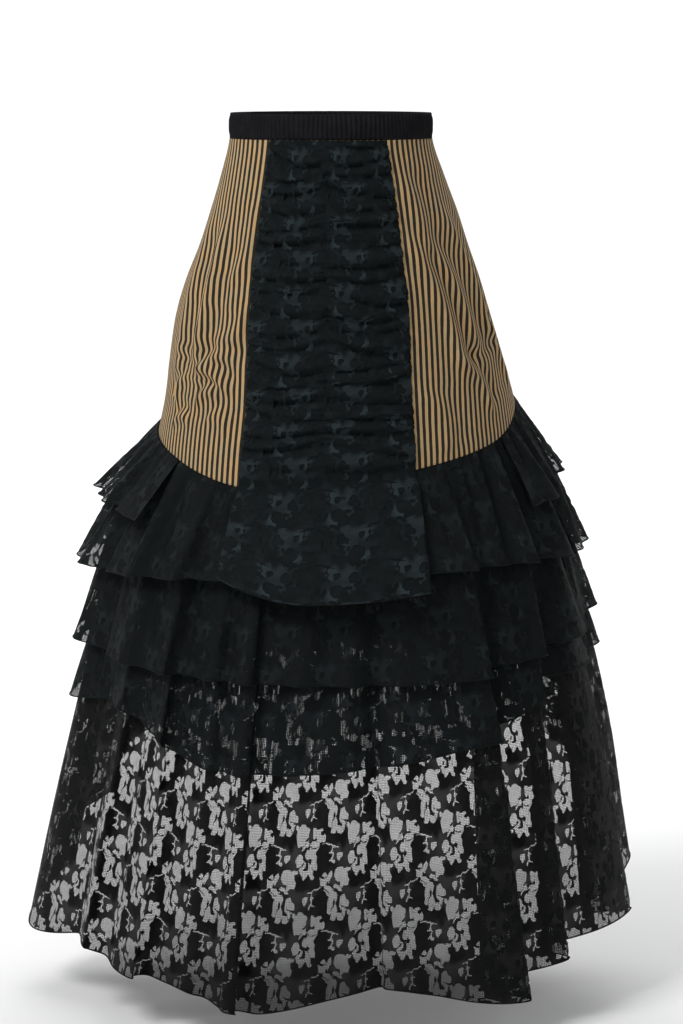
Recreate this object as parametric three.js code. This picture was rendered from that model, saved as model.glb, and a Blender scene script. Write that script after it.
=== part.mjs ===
// A long skirt, worn and filled out: elastic waistband, striped cotton yoke, ruched lace panel with a
// free flap at the centre back, four gathered lace ruffles and a long lace flounce, short in front.
// Millimetres. The origin is the waist's centre, +Z is up, -Y is the front, +X is the wearer's left.
import * as THREE from 'three';

// Cloth and seams
const COTTON = 1.6;
const LACE = 1.4;
const BAND_WALL = 2.4;
const SEAM = 0.3;
const RUFFLE_DROP = 0.8;
const LAYER_STEP = 1.8;
const FLAP_CLEARANCE = 4.6;

// Waistband
const BAND_TOP = 15;
const BAND_BOTTOM = -15;
const BAND_PROUD = 0.8;

// Seams of the yoke, as turns in degrees from the centre back, wearer's left below zero
const SIDE_SEAM = 86;

// Half widths and depths of the body of the skirt at each height
const BODY = [
  { height: 15, left: 119, right: 119, back: 92, front: 90 },
  { height: -15, left: 120, right: 120, back: 94, front: 91 },
  { height: -60, left: 131, right: 135, back: 109, front: 99 },
  { height: -100, left: 143, right: 150, back: 123, front: 106 },
  { height: -140, left: 156, right: 163, back: 135, front: 112 },
  { height: -180, left: 172, right: 177, back: 144, front: 118 },
  { height: -220, left: 184, right: 189, back: 151, front: 124 },
  { height: -270, left: 192, right: 204, back: 160, front: 133 },
  { height: -320, left: 198, right: 218, back: 170, front: 144 },
  { height: -370, left: 208, right: 229, back: 180, front: 156 },
  { height: -430, left: 218, right: 241, back: 190, front: 170 },
];

// Half widths and depths of the flounce at each height
const FLOUNCE = [
  { height: -280, left: 180, right: 192, back: 150, front: 124 },
  { height: -340, left: 200, right: 212, back: 172, front: 148 },
  { height: -410, left: 222, right: 238, back: 196, front: 174 },
  { height: -520, left: 256, right: 270, back: 228, front: 202 },
  { height: -620, left: 281, right: 297, back: 254, front: 222 },
  { height: -720, left: 303, right: 320, back: 277, front: 238 },
  { height: -850, left: 332, right: 340, back: 303, front: 254 },
  { height: -1000, left: 364, right: 364, back: 330, front: 270 },
];

// Heights of the yoke's lower seam and of each hem, by turn from the centre back
const HEMS = [
  { turn: -180, seam: -300, short: -372, first: -450, second: -520, third: -585, flounce: -655 },
  { turn: -150, seam: -306, short: -378, first: -458, second: -530, third: -600, flounce: -690 },
  { turn: -125, seam: -324, short: -396, first: -478, second: -560, third: -628, flounce: -800 },
  { turn: -100, seam: -348, short: -420, first: -504, second: -594, third: -664, flounce: -905 },
  { turn: -85, seam: -362, short: -431, first: -514, second: -604, third: -676, flounce: -955 },
  { turn: -60, seam: -384, short: -452, first: -516, second: -616, third: -670, flounce: -945 },
  { turn: -45, seam: -399, short: -460, first: -514, second: -620, third: -688, flounce: -966 },
  { turn: -30, seam: -410, short: -464, first: -511, second: -622, third: -720, flounce: -972 },
  { turn: -12, seam: -408, short: -462, first: -507, second: -624, third: -726, flounce: -994 },
  { turn: 12, seam: -398, short: -458, first: -503, second: -625, third: -716, flounce: -965 },
  { turn: 30, seam: -386, short: -456, first: -500, second: -622, third: -696, flounce: -988 },
  { turn: 45, seam: -375, short: -448, first: -499, second: -612, third: -680, flounce: -966 },
  { turn: 60, seam: -362, short: -440, first: -498, second: -600, third: -640, flounce: -944 },
  { turn: 85, seam: -330, short: -411, first: -501, second: -579, third: -624, flounce: -905 },
  { turn: 100, seam: -318, short: -400, first: -490, second: -568, third: -612, flounce: -852 },
  { turn: 125, seam: -310, short: -388, first: -474, second: -548, third: -592, flounce: -760 },
  { turn: 150, seam: -304, short: -378, first: -458, second: -530, third: -600, flounce: -690 },
  { turn: 180, seam: -300, short: -372, first: -450, second: -520, third: -585, flounce: -655 },
];

// How far each ruffle's hem stands off the flounce, on each side
const STAND_OFF = {
  short: { left: 44, right: 24, back: 30, front: 26 },
  first: { left: 42, right: 27, back: 24, front: 26 },
  second: { left: 23, right: 15, back: 17, front: 18 },
  third: { left: 9, right: 6, back: 9, front: 9 },
};

const STAND_OFF_CURVE = 1.05;
const SWING_CURVE = 0.8;
const LAP_CURVE = 1.2;
const FLAP_SWING = 26;

// Ridges and valleys of the folds round the hem: a turn of the cloth, the turn that it hangs at there
// and how far it swings out
const FOLDS = [
  { turn: -84, place: -82, swing: 20 }, { turn: -69, place: -66, swing: -14 }, { turn: -57, place: -54, swing: 14 },
  { turn: -50, place: -49, swing: -9 }, { turn: -40, place: -40, swing: 14 }, { turn: -34, place: -34, swing: -9 },
  { turn: -26, place: -26.5, swing: 10 }, { turn: -18, place: -18, swing: 24 }, { turn: -13, place: -14, swing: 0 },
  { turn: -2, place: -5, swing: 3 }, { turn: 9, place: 9.7, swing: -15 }, { turn: 16, place: 15.5, swing: 9 },
  { turn: 25, place: 26, swing: 11 }, { turn: 32, place: 33.5, swing: 22 }, { turn: 40, place: 39, swing: -8 },
  { turn: 51, place: 46, swing: 11 }, { turn: 61, place: 52.5, swing: -12 }, { turn: 75, place: 63.5, swing: 15 },
  { turn: 82, place: 69.5, swing: -12 }, { turn: 95, place: 84, swing: 13 }, { turn: 110, place: 106, swing: -13 },
  { turn: 118, place: 118, swing: 14 }, { turn: 126, place: 125, swing: -13 }, { turn: 136, place: 136, swing: 13 },
  { turn: 144, place: 143, swing: -14 }, { turn: 153, place: 154, swing: 13 }, { turn: 163, place: 163, swing: -13 },
  { turn: 175, place: 176, swing: 15 }, { turn: 186, place: 185, swing: -14 }, { turn: 194, place: 194, swing: 13 },
  { turn: 203, place: 202, swing: -13 }, { turn: 213, place: 214, swing: 14 }, { turn: 222, place: 221, swing: -13 },
  { turn: 232, place: 232, swing: 13 }, { turn: 241, place: 241, swing: -13 }, { turn: 250, place: 251, swing: 14 },
  { turn: 259, place: 258, swing: -12 }, { turn: 266, place: 267, swing: 6 },
];

// Ends of the gathered pieces, each on a ridge or valley
const BACK_ENDS = [-84, 82];
const FRONT_ENDS = [82, 276];
const SHORT_RIGHT_ENDS = [61, 186];
const SHORT_LEFT_ENDS = [186, 303];

// Gaps of the lace: one at a time between a ridge and a valley, in rows that lean to and fro
const GAP_HALF_WIDTH = 1.75;
const GAP_WIDEST_SHARE = 0.2;
const NARROW_FOLD = 7.5;
const LEANS = [[0.4, 0.6], [0.62, 0.42]];
const SMALLEST_GAP = 11;
const BACK_GAP_ROWS = 6;
const FRONT_GAP_ROWS = 2;

// Edges of the ruched panel, as turns from the centre back
const RUCHED = [
  { height: -15, left: -36, right: 33 },
  { height: -140, left: -33.5, right: 30 },
  { height: -200, left: -31, right: 29 },
  { height: -300, left: -29.5, right: 26 },
  { height: -400, left: -29.2, right: 24.5 },
  { height: -470, left: -28.5, right: 23 },
  { height: -540, left: -27.5, right: 22 },
];
const SWAGS = 19;
const SWAG_SAG = 7;
const SWAG_RISE = 4.6;
const FLAP_BELOW_FIRST = { left: 4, middle: 32, right: 26 };

// Largest creases of the striped side panels: where, along and across, its lean and its rise
const CREASES = [
  { turn: -50, height: -262, along: 52, across: 12, lean: 78, rise: 4.5 },
  { turn: -60, height: -300, along: 46, across: 11, lean: 98, rise: 4 },
  { turn: -44, height: -322, along: 40, across: 11, lean: 82, rise: 3.5 },
  { turn: -70, height: -180, along: 80, across: 15, lean: 8, rise: 4 },
  { turn: 42, height: -190, along: 95, across: 15, lean: -22, rise: 5 },
  { turn: 58, height: -220, along: 90, across: 15, lean: -20, rise: 4.5 },
  { turn: 72, height: -170, along: 70, across: 14, lean: -16, rise: 3.5 },
];

const COTTON_LOOK = { color: 0x8a7050, roughness: 0.85, metalness: 0 };
const LACE_LOOK = { color: 0x17191c, roughness: 0.8, metalness: 0 };
const ELASTIC_LOOK = { color: 0x1b1b1d, roughness: 0.75, metalness: 0 };

const HALF_TURN = 180;
const FULL_TURN = 360;
const radians = THREE.MathUtils.degToRad;

// A smooth curve through a table's rows, read at one value of its key column
function readTable(rows, key, column, value) {
  const order = rows[0][key] < rows[rows.length - 1][key] ? rows : [...rows].reverse();
  const last = order.length - 2;
  const at = THREE.MathUtils.clamp(value, order[0][key], order[last + 1][key]);
  let i = 0;
  while (i < last && order[i + 1][key] < at) i += 1;
  const slope = (k) => (order[k + 1][column] - order[k][column]) / (order[k + 1][key] - order[k][key]);
  const step = order[i + 1][key] - order[i][key];
  const t = (at - order[i][key]) / step;
  const here = slope(i);
  const start = i > 0 ? (slope(i - 1) + here) / 2 : here;
  const end = i < last ? (slope(i + 1) + here) / 2 : here;
  const a = order[i][column];
  const b = order[i + 1][column];
  return (2 * t ** 3 - 3 * t ** 2 + 1) * a + (t ** 3 - 2 * t ** 2 + t) * step * start
    + (3 * t ** 2 - 2 * t ** 3) * b + (t ** 3 - t ** 2) * step * end;
}

function wrap(turn) {
  return ((turn + HALF_TURN) % FULL_TURN + FULL_TURN) % FULL_TURN - HALF_TURN;
}

// Point of an oval section and its outward direction
function ovalPoint(table, height, turn) {
  const s = Math.sin(radians(turn));
  const c = Math.cos(radians(turn));
  const wide = readTable(table, 'height', s >= 0 ? 'right' : 'left', height);
  const deep = readTable(table, 'height', c >= 0 ? 'back' : 'front', height);
  const point = new THREE.Vector2(-wide * s, deep * c);
  const out = new THREE.Vector2(-deep * s, wide * c).normalize();
  return { point, out };
}

function hemHeight(name, turn) {
  return readTable(HEMS, 'turn', name, wrap(turn));
}

// Depth below the seam in layers: 0 is the seam, 1 the short ruffle's hem and 5 the flounce's hem
const DEPTH_NAMES = ['seam', 'short', 'first', 'second', 'third', 'flounce'];
const DEEPEST = DEPTH_NAMES.length - 1;
function depthHeight(depth, turn) {
  const i = Math.min(Math.floor(depth), DEEPEST - 1);
  const from = hemHeight(DEPTH_NAMES[i], turn);
  const to = hemHeight(DEPTH_NAMES[i + 1], turn);
  return from + (to - from) * (depth - i);
}

// The folds once more on each side, so that they read on round the body
const ROUND_FOLDS = [-FULL_TURN, 0, FULL_TURN].flatMap((lap) => FOLDS.map((row) => (
  { turn: row.turn + lap, place: row.place + lap, swing: row.swing })));

function sideMix(sides, turn) {
  const s = Math.sin(radians(turn));
  const c = Math.cos(radians(turn));
  return (s >= 0 ? sides.right : sides.left) * s * s + (c >= 0 ? sides.back : sides.front) * c * c;
}

// Outer point of a gathered layer. The flounce is layer 4 and the short ruffle is layer 0
const LAYER_NAMES = ['short', 'first', 'second', 'third', 'flounce'];
function layerPoint(layer, turn, depth) {
  const aside = readTable(ROUND_FOLDS, 'turn', 'place', turn) - turn;
  const swing = readTable(ROUND_FOLDS, 'turn', 'swing', turn);
  return hangingPoint(layer, turn, turn + aside * (depth / DEEPEST) ** LAP_CURVE, depth, swing);
}

// Point of a layer that hangs at a place which may differ from the cloth's own turn
function hangingPoint(layer, turn, place, depth, swing, extra = 0) {
  const seam = hemHeight('seam', turn);
  const height = depthHeight(depth, turn);
  const top = ovalPoint(BODY, seam, place);
  const here = ovalPoint(FLOUNCE, height, place);
  const start = ovalPoint(FLOUNCE, seam, place);
  const away = here.point.clone().sub(start.point).add(top.point);
  const share = depth / (layer + 1);
  const sides = STAND_OFF[LAYER_NAMES[layer]];
  const standOff = sides ? sideMix(sides, place) * share ** STAND_OFF_CURVE : 0;
  const stack = 1 - LAYER_STEP * layer;
  away.addScaledVector(here.out, stack + standOff + swing * (depth / DEEPEST) ** SWING_CURVE + extra);
  return { point: new THREE.Vector3(away.x, away.y, height), out: here.out };
}

// A closed wall over a grid of outer points, with cells left open where isGap says so
function wallGeometry(columns, rows, outerPoint, wall, isGap = () => false) {
  const positions = [];
  const addLayer = (thickness) => {
    const base = positions.length / 3;
    for (let r = 0; r <= rows; r += 1) {
      for (let c = 0; c <= columns; c += 1) {
        const { point, out } = outerPoint(c, r);
        positions.push(point.x - out.x * thickness, point.y - out.y * thickness, point.z);
      }
    }
    return base;
  };
  const outer = addLayer(0);
  const inner = addLayer(wall);
  const at = (base, c, r) => base + r * (columns + 1) + c;
  const open = (c, r) => c < 0 || r < 0 || c >= columns || r >= rows || isGap(c, r);
  const faces = [];
  const quad = (a, b, c, d) => faces.push(a, b, c, a, c, d);
  const side = (c0, r0, c1, r1) => {
    quad(at(outer, c0, r0), at(inner, c0, r0), at(inner, c1, r1), at(outer, c1, r1));
  };
  for (let r = 0; r < rows; r += 1) {
    for (let c = 0; c < columns; c += 1) {
      if (open(c, r)) continue;
      quad(at(outer, c, r), at(outer, c, r + 1), at(outer, c + 1, r + 1), at(outer, c + 1, r));
      quad(at(inner, c, r), at(inner, c + 1, r), at(inner, c + 1, r + 1), at(inner, c, r + 1));
      if (open(c, r - 1)) side(c + 1, r, c, r);
      if (open(c, r + 1)) side(c, r + 1, c + 1, r + 1);
      if (open(c - 1, r)) side(c, r, c, r + 1);
      if (open(c + 1, r)) side(c + 1, r + 1, c + 1, r);
    }
  }
  const geometry = new THREE.BufferGeometry();
  geometry.setAttribute('position', new THREE.Float32BufferAttribute(positions, 3));
  geometry.setIndex(faces);
  geometry.computeVertexNormals();
  return geometry;
}

const skirt = new THREE.Group();

function addPiece(name, geometry, look) {
  const mesh = new THREE.Mesh(geometry, new THREE.MeshStandardMaterial(look));
  mesh.name = name;
  skirt.add(mesh);
}

// Turn of a column between two edges that may slope with height, kept clear of the seam at each end
function columnTurn(left, right, share, width) {
  const margin = THREE.MathUtils.radToDeg(SEAM / 2 / width);
  return THREE.MathUtils.lerp(left + margin, right - margin, share);
}

// Waistband, in two halves joined at the side seams
const BAND_COLUMNS = 22;
function bandHalf(from, to) {
  return wallGeometry(BAND_COLUMNS, 1, (c, r) => {
    const height = r === 0 ? BAND_TOP : BAND_BOTTOM;
    const turn = columnTurn(from, to, c / BAND_COLUMNS, readTable(BODY, 'height', 'left', height));
    const { point, out } = ovalPoint(BODY, height, turn);
    point.addScaledVector(out, BAND_PROUD);
    return { point: new THREE.Vector3(point.x, point.y, height), out };
  }, BAND_WALL);
}
addPiece('waistband_back', bandHalf(-SIDE_SEAM, SIDE_SEAM), ELASTIC_LOOK);
addPiece('waistband_front', bandHalf(SIDE_SEAM, FULL_TURN - SIDE_SEAM), ELASTIC_LOOK);

// Rise of the creases in a striped panel at one place
function creaseRise(turn, height) {
  const girth = readTable(BODY, 'height', 'back', height);
  return CREASES.reduce((sum, row) => {
    const x = radians(turn - row.turn) * girth;
    const y = height - row.height;
    const lean = radians(row.lean);
    const along = (y * Math.cos(lean) + x * Math.sin(lean)) / row.along;
    const across = (x * Math.cos(lean) - y * Math.sin(lean)) / row.across;
    return sum + row.rise * Math.exp(-along * along - across * across);
  }, 0);
}

// Striped panels, from the waistband down to the sloping lower seam
const LOW_EDGE = -400;
function stripedPanel(columns, rows, leftEdge, rightEdge) {
  return wallGeometry(columns, rows, (c, r) => {
    const share = c / columns;
    const lowTurn = THREE.MathUtils.lerp(leftEdge(LOW_EDGE), rightEdge(LOW_EDGE), share);
    const low = hemHeight('seam', lowTurn);
    const height = THREE.MathUtils.lerp(BAND_BOTTOM - SEAM, low, r / rows);
    const width = readTable(BODY, 'height', 'left', height);
    const turn = columnTurn(leftEdge(height), rightEdge(height), share, width);
    const { point, out } = ovalPoint(BODY, height, turn);
    const inset = Math.sin(Math.PI * share) * Math.sin(Math.PI * Math.min(r / rows, 1));
    point.addScaledVector(out, creaseRise(turn, height) * Math.sqrt(Math.max(inset, 0)));
    return { point: new THREE.Vector3(point.x, point.y, height), out };
  }, COTTON);
}
const ruchedLeft = (height) => readTable(RUCHED, 'height', 'left', height);
const ruchedRight = (height) => readTable(RUCHED, 'height', 'right', height);
addPiece('side_panel_left', stripedPanel(10, 13, () => -SIDE_SEAM, ruchedLeft), COTTON_LOOK);
addPiece('side_panel_right', stripedPanel(10, 13, ruchedRight, () => SIDE_SEAM), COTTON_LOOK);
addPiece('front_panel', stripedPanel(18, 7, () => SIDE_SEAM, () => FULL_TURN - SIDE_SEAM), COTTON_LOOK);

// Ruched panel: swags between its edges and its middle, then a free flap over the first ruffle
const RUCHED_COLUMNS = 8;
const RUCHED_ROWS = SWAGS * 2;
const FLAP_DEPTHS = [0.25, 0.6, 1.3, 2];
const FLAP_EDGE = -500;
const FREE_RISE = 2.4;
const FREE_FROM = 0.8;
const SWAG_FADE = 6;
const LEAST_SWAG = 0.45;
function swagPoint(share, down) {
  const swag = Math.sin(2 * Math.PI * share) ** 2;
  const lowTurn = THREE.MathUtils.lerp(ruchedLeft(LOW_EDGE), ruchedRight(LOW_EDGE), share);
  const fade = Math.min(1, SWAG_FADE * (1 - down), SWAG_FADE * down);
  const bottom = hemHeight('seam', lowTurn);
  const height = THREE.MathUtils.lerp(BAND_BOTTOM - SEAM, bottom, down) - SWAG_SAG * swag * fade;
  const width = readTable(BODY, 'height', 'left', height);
  const turn = columnTurn(ruchedLeft(height), ruchedRight(height), share, width);
  const { point, out } = ovalPoint(BODY, height, turn);
  const isRidge = Math.round(down * RUCHED_ROWS) % 2 === 1;
  const ridge = isRidge ? SWAG_RISE * THREE.MathUtils.lerp(LEAST_SWAG, 1, swag) : 0;
  point.addScaledVector(out, ridge + FREE_RISE * THREE.MathUtils.smoothstep(down, FREE_FROM, 1));
  return { point: new THREE.Vector3(point.x, point.y, height), out };
}

function flapPoint(share, depth) {
  const guess = THREE.MathUtils.lerp(ruchedLeft(FLAP_EDGE), ruchedRight(FLAP_EDGE), share);
  const edge = (2 * share - 1) ** 2;
  const side = share < 0.5 ? FLAP_BELOW_FIRST.left : FLAP_BELOW_FIRST.right;
  const below = THREE.MathUtils.lerp(FLAP_BELOW_FIRST.middle, side, edge);
  const next = hemHeight('first', guess) - hemHeight('second', guess);
  const at = depth ?? 2 + below / next;
  const height = depthHeight(at, guess);
  const turn = THREE.MathUtils.lerp(ruchedLeft(height), ruchedRight(height), share);
  return hangingPoint(1, turn, turn, at, FLAP_SWING, FLAP_CLEARANCE);
}

function ruchedPoint(c, r) {
  const share = c / RUCHED_COLUMNS;
  return r <= RUCHED_ROWS ? swagPoint(share, r / RUCHED_ROWS)
    : flapPoint(share, FLAP_DEPTHS[r - RUCHED_ROWS - 1]);
}
const FLAP_ROWS = FLAP_DEPTHS.length + 1;
addPiece('ruched_panel', wallGeometry(RUCHED_COLUMNS, RUCHED_ROWS + FLAP_ROWS, ruchedPoint, LACE), LACE_LOOK);

// Columns of a gathered stretch: one on each ridge and valley, and on a wide fold more between them,
// two with a gap in between where the layer has gaps and otherwise one
function foldColumns([from, to], hasGaps) {
  const folds = ROUND_FOLDS.filter((row) => row.turn >= from && row.turn <= to);
  const columns = folds.slice(0, -1).flatMap(({ turn }, i) => {
    const span = folds[i + 1].turn - turn;
    const half = Math.min(span * GAP_WIDEST_SHARE, GAP_HALF_WIDTH);
    if (span < NARROW_FOLD) return [{ turn, span: 0, aside: 0 }];
    if (!hasGaps) return [{ turn, span: 0, aside: 0 }, { turn, span, aside: 0 }];
    return [{ turn, span: 0, aside: 0 }, { turn, span, aside: -half, gap: true }, { turn, span, aside: half }];
  });
  return [...columns, { turn: to, span: 0, aside: 0 }];
}

// A stretch of a gathered layer between two ridges or valleys
const SEAM_RADIUS = 200;
function gatheredLayer(layer, depths, ends) {
  const columns = foldColumns(ends, depths.some((row) => row.gap));
  const last = columns.length - 1;
  const margin = THREE.MathUtils.radToDeg(SEAM / 2 / SEAM_RADIUS);
  const turnAt = (c, middle) => {
    const { turn, span, aside } = columns[c];
    const inset = (c === 0 ? margin : 0) - (c === last ? margin : 0);
    return turn + span * middle + aside + inset;
  };
  const outer = (c, r) => {
    const { depth, middle } = depths[r];
    const { point, out } = layerPoint(layer, turnAt(c, middle), depth);
    point.z -= r === 0 ? RUFFLE_DROP : 0;
    return { point, out };
  };
  const isGap = (c, r) => {
    if (!depths[r].gap || !columns[c].gap) return false;
    const turn = turnAt(c, depths[r].middle);
    return depthHeight(depths[r].depth, turn) - depthHeight(depths[r + 1].depth, turn) > SMALLEST_GAP;
  };
  return wallGeometry(last, depths.length - 1, outer, LACE, isGap);
}

const evenRows = (...list) => list.map((depth) => ({ depth, middle: 0.5 }));
// Rows of gaps between two depths, each gap leaning the other way from the one above
const GAP_SHARE = 0.55;
function gapRows(from, to, count) {
  const rows = [];
  const pitch = (to - from) / count;
  for (let i = 0; i < count; i += 1) {
    const [top, bottom] = LEANS[i % 2];
    rows.push({ depth: from + i * pitch, middle: top, gap: true });
    rows.push({ depth: from + (i + GAP_SHARE) * pitch, middle: bottom });
  }
  return rows;
}
const RUFFLE_ROWS = {
  short: evenRows(0, 0.25, 0.6, 1),
  first: evenRows(0, 0.25, 0.6, 1.3, 2),
  second: [...evenRows(0, 0.25, 0.6), ...gapRows(2.1, 2.9, 1), ...evenRows(3)],
  third: [...evenRows(0, 0.25, 0.6, 1.8), ...gapRows(3.2, 3.9, 1), ...evenRows(4)],
};
const flounceRows = (count) => [...evenRows(0, 0.25, 0.6, 1.8, 3.2), ...gapRows(4.08, 4.98, count), ...evenRows(5)];
addPiece('ruffle_short_right', gatheredLayer(0, RUFFLE_ROWS.short, SHORT_RIGHT_ENDS), LACE_LOOK);
addPiece('ruffle_short_left', gatheredLayer(0, RUFFLE_ROWS.short, SHORT_LEFT_ENDS), LACE_LOOK);
['first', 'second', 'third'].forEach((name, i) => {
  addPiece(`ruffle_${name}_back`, gatheredLayer(i + 1, RUFFLE_ROWS[name], BACK_ENDS), LACE_LOOK);
  addPiece(`ruffle_${name}_front`, gatheredLayer(i + 1, RUFFLE_ROWS[name], FRONT_ENDS), LACE_LOOK);
});
addPiece('flounce_back', gatheredLayer(4, flounceRows(BACK_GAP_ROWS), BACK_ENDS), LACE_LOOK);
addPiece('flounce_front', gatheredLayer(4, flounceRows(FRONT_GAP_ROWS), FRONT_ENDS), LACE_LOOK);

export default skirt;
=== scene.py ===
"""Dresses the striped skirt: cotton panels, ruched lace, gathered lace ruffles and a long lace flounce.

Pattern tables are in millimetres and degrees, as a pattern maker writes them. Meshes are in metres.
A turn is an angle round the body from the centre back, below zero on the wearer's left.
"""

import math
from functools import partial

import bpy
import numpy as np
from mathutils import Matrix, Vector
from mathutils.geometry import delaunay_2d_cdt


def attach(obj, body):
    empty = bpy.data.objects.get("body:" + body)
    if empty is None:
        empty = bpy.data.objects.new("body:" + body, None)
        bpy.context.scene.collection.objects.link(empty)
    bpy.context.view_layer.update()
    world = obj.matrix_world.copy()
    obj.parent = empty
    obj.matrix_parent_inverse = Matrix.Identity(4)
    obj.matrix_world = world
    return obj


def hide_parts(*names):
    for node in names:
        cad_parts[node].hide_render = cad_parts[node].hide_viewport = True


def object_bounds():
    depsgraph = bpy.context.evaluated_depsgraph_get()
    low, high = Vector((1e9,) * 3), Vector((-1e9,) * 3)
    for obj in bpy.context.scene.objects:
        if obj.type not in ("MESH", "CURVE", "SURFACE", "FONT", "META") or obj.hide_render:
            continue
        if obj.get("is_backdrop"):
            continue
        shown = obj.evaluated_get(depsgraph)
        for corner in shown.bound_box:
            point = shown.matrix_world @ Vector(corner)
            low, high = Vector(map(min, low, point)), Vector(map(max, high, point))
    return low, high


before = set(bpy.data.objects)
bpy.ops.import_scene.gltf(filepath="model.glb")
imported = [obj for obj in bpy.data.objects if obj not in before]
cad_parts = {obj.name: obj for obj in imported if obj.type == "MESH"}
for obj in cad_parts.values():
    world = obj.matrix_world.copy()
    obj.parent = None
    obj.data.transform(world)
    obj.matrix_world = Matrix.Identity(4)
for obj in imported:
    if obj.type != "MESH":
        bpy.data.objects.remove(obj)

bl_info = {
    "name": "Striped Lace Skirt",
    "version": (1, 0, 0),
    "blender": (4, 5, 0),
    "location": "3D View > Sidebar > Skirt",
    "description": "Dresses a long skirt in striped cotton, ruched lace and gathered lace ruffles",
    "category": "Add Mesh",
}

MM = 0.001
FULL_TURN = 360.0
BODY_NAME = "root"


def table(names, *rows):
    """Rows of numbers under named columns, sorted by the first column."""
    data = np.array(sorted(rows), dtype=float)
    return {name: data[:, i] for i, name in enumerate(names.split())}


# Half widths and depths of the body of the skirt at each height
BODY = table(
    "height left right back front",
    (15, 119, 119, 92, 90), (-15, 120, 120, 94, 91), (-60, 131, 135, 109, 99),
    (-100, 143, 150, 123, 106), (-140, 156, 163, 135, 112), (-180, 172, 177, 144, 118),
    (-220, 184, 189, 151, 124), (-270, 192, 204, 160, 133), (-320, 198, 218, 170, 144),
    (-370, 208, 229, 180, 156), (-430, 218, 241, 190, 170),
)

# Half widths and depths of the flounce at each height
FLOUNCE = table(
    "height left right back front",
    (-280, 180, 192, 150, 124), (-340, 200, 212, 172, 148), (-410, 222, 238, 196, 174),
    (-520, 256, 270, 228, 202), (-620, 281, 297, 254, 222), (-720, 303, 320, 277, 238),
    (-850, 332, 340, 303, 254), (-1000, 364, 364, 330, 270),
)

# Heights of the yoke's lower seam and of each hem, by turn
HEMS = table(
    "turn seam short first second third flounce",
    (-180, -300, -372, -450, -520, -585, -655), (-150, -306, -378, -458, -530, -600, -690),
    (-125, -324, -396, -478, -560, -628, -800), (-100, -348, -420, -504, -594, -664, -905),
    (-85, -362, -431, -514, -604, -676, -955), (-60, -384, -452, -516, -616, -670, -945),
    (-45, -399, -460, -514, -620, -688, -966), (-30, -410, -464, -511, -622, -720, -972),
    (-12, -408, -462, -507, -624, -726, -994), (12, -398, -458, -503, -625, -716, -965),
    (30, -386, -456, -500, -622, -696, -988), (45, -375, -448, -499, -612, -680, -966),
    (60, -362, -440, -498, -600, -640, -944), (85, -330, -411, -501, -579, -624, -905),
    (100, -318, -400, -490, -568, -612, -852), (125, -310, -388, -474, -548, -592, -760),
    (150, -304, -378, -458, -530, -600, -690), (180, -300, -372, -450, -520, -585, -655),
)
STOPS = ("seam", "short", "first", "second", "third", "flounce")
HEM_DEPTH = 5

# How far each ruffle's hem stands off the flounce, on each side
STAND_OFF = {
    "short": {"left": 44, "right": 24, "back": 30, "front": 26},
    "first": {"left": 42, "right": 27, "back": 24, "front": 26},
    "second": {"left": 23, "right": 15, "back": 17, "front": 18},
    "third": {"left": 9, "right": 6, "back": 9, "front": 9},
    "flounce": {"left": 0, "right": 0, "back": 0, "front": 0},
}
STAND_OFF_CURVE = 1.05
SWING_CURVE = 0.8
LAYER_STEP = 1.8
LAYER_NAMES = ("short", "first", "second", "third", "flounce")

# Folds round the hem: a turn of the cloth, the turn that it hangs at and how far it swings out
FOLDS = table(
    "turn place swing",
    (-84, -81, 21), (-76, -73, 3), (-69, -66, -14), (-63, -60, -4), (-57, -54, 14), (-53, -54.5, 1),
    (-50, -52, -10), (-45, -46, 3), (-40, -39.5, 14), (-37.5, -41, 2), (-35, -39.5, -11), (-31, -33, 0),
    (-27, -27, 11), (-23.5, -24, 4), (-20.5, -20.5, 16), (-18.7, -19, 25), (-17, -17, 21), (-15.5, -19, 6),
    (-13.5, -17.8, -4), (-9, -13, 4), (-1, -4, 3), (5, 4.4, -4), (9, 9.7, -15), (11.5, 10.2, 0),
    (15.5, 14.5, 9), (20.5, 21, 8), (25, 26.5, 12), (28.5, 32, 21), (32, 37, 25), (35.5, 34, 8),
    (38.5, 29.5, -6), (42, 31.5, -16), (46, 37.5, -6), (50.5, 43.5, 9), (54.5, 48.3, 15), (57.5, 46.5, -1),
    (61, 46, -14), (66, 60, 4), (70, 72, 15), (72, 75.5, 15), (74.5, 70, 4), (78, 62, -11), (82, 60, -16),
    (86, 69, -8), (90, 80, 5), (93, 86, 13), (95, 86, 10), (98, 78, -4), (101, 73, -13), (103.5, 75, -16),
    (107, 86, -11), (110.5, 98, -14), (114, 109, -4), (117.5, 118, 15), (121, 120, -1),
    (126, 124, -14), (134, 136, 13), (139, 139, 0), (144, 143, -15), (152, 154, 14), (157, 158, 3),
    (163, 163, -13), (171, 172, 12), (177, 179, 17), (181, 180, 1), (186, 185, -15), (193, 194, 13),
    (197, 196, 0), (203, 202, -14), (212, 214, 15), (217, 216, 0), (222, 221, -13), (230, 231, 13),
    (236, 236, 4), (241, 241, -14), (249, 251, 15), (253, 252, 0), (258, 257, -13), (265, 266, 6),
)
FOLDS["aside"] = FOLDS["place"] - FOLDS["turn"]
LAP_CURVE = 1.2

# Ends of the gathered pieces
BACK = (-84, 82)
FRONT = (82, 276)
SHORT_RIGHT = (61, 186)
SHORT_LEFT = (186, 303)

# Edges of the ruched panel
RUCHED = table(
    "height left right",
    (-15, -36, 33), (-140, -33.5, 30), (-200, -31, 29), (-300, -29.5, 26),
    (-400, -29.2, 24.5), (-470, -28.2, 22.7), (-540, -26, 21),
)
SIDE_SEAM = 86.0
BAND_TOP = 15.0
BAND_BOTTOM = -15.0
SEAM = 0.3
FLAP_BELOW = {"left": -5.0, "middle": 26.0, "right": 19.0}

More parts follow.
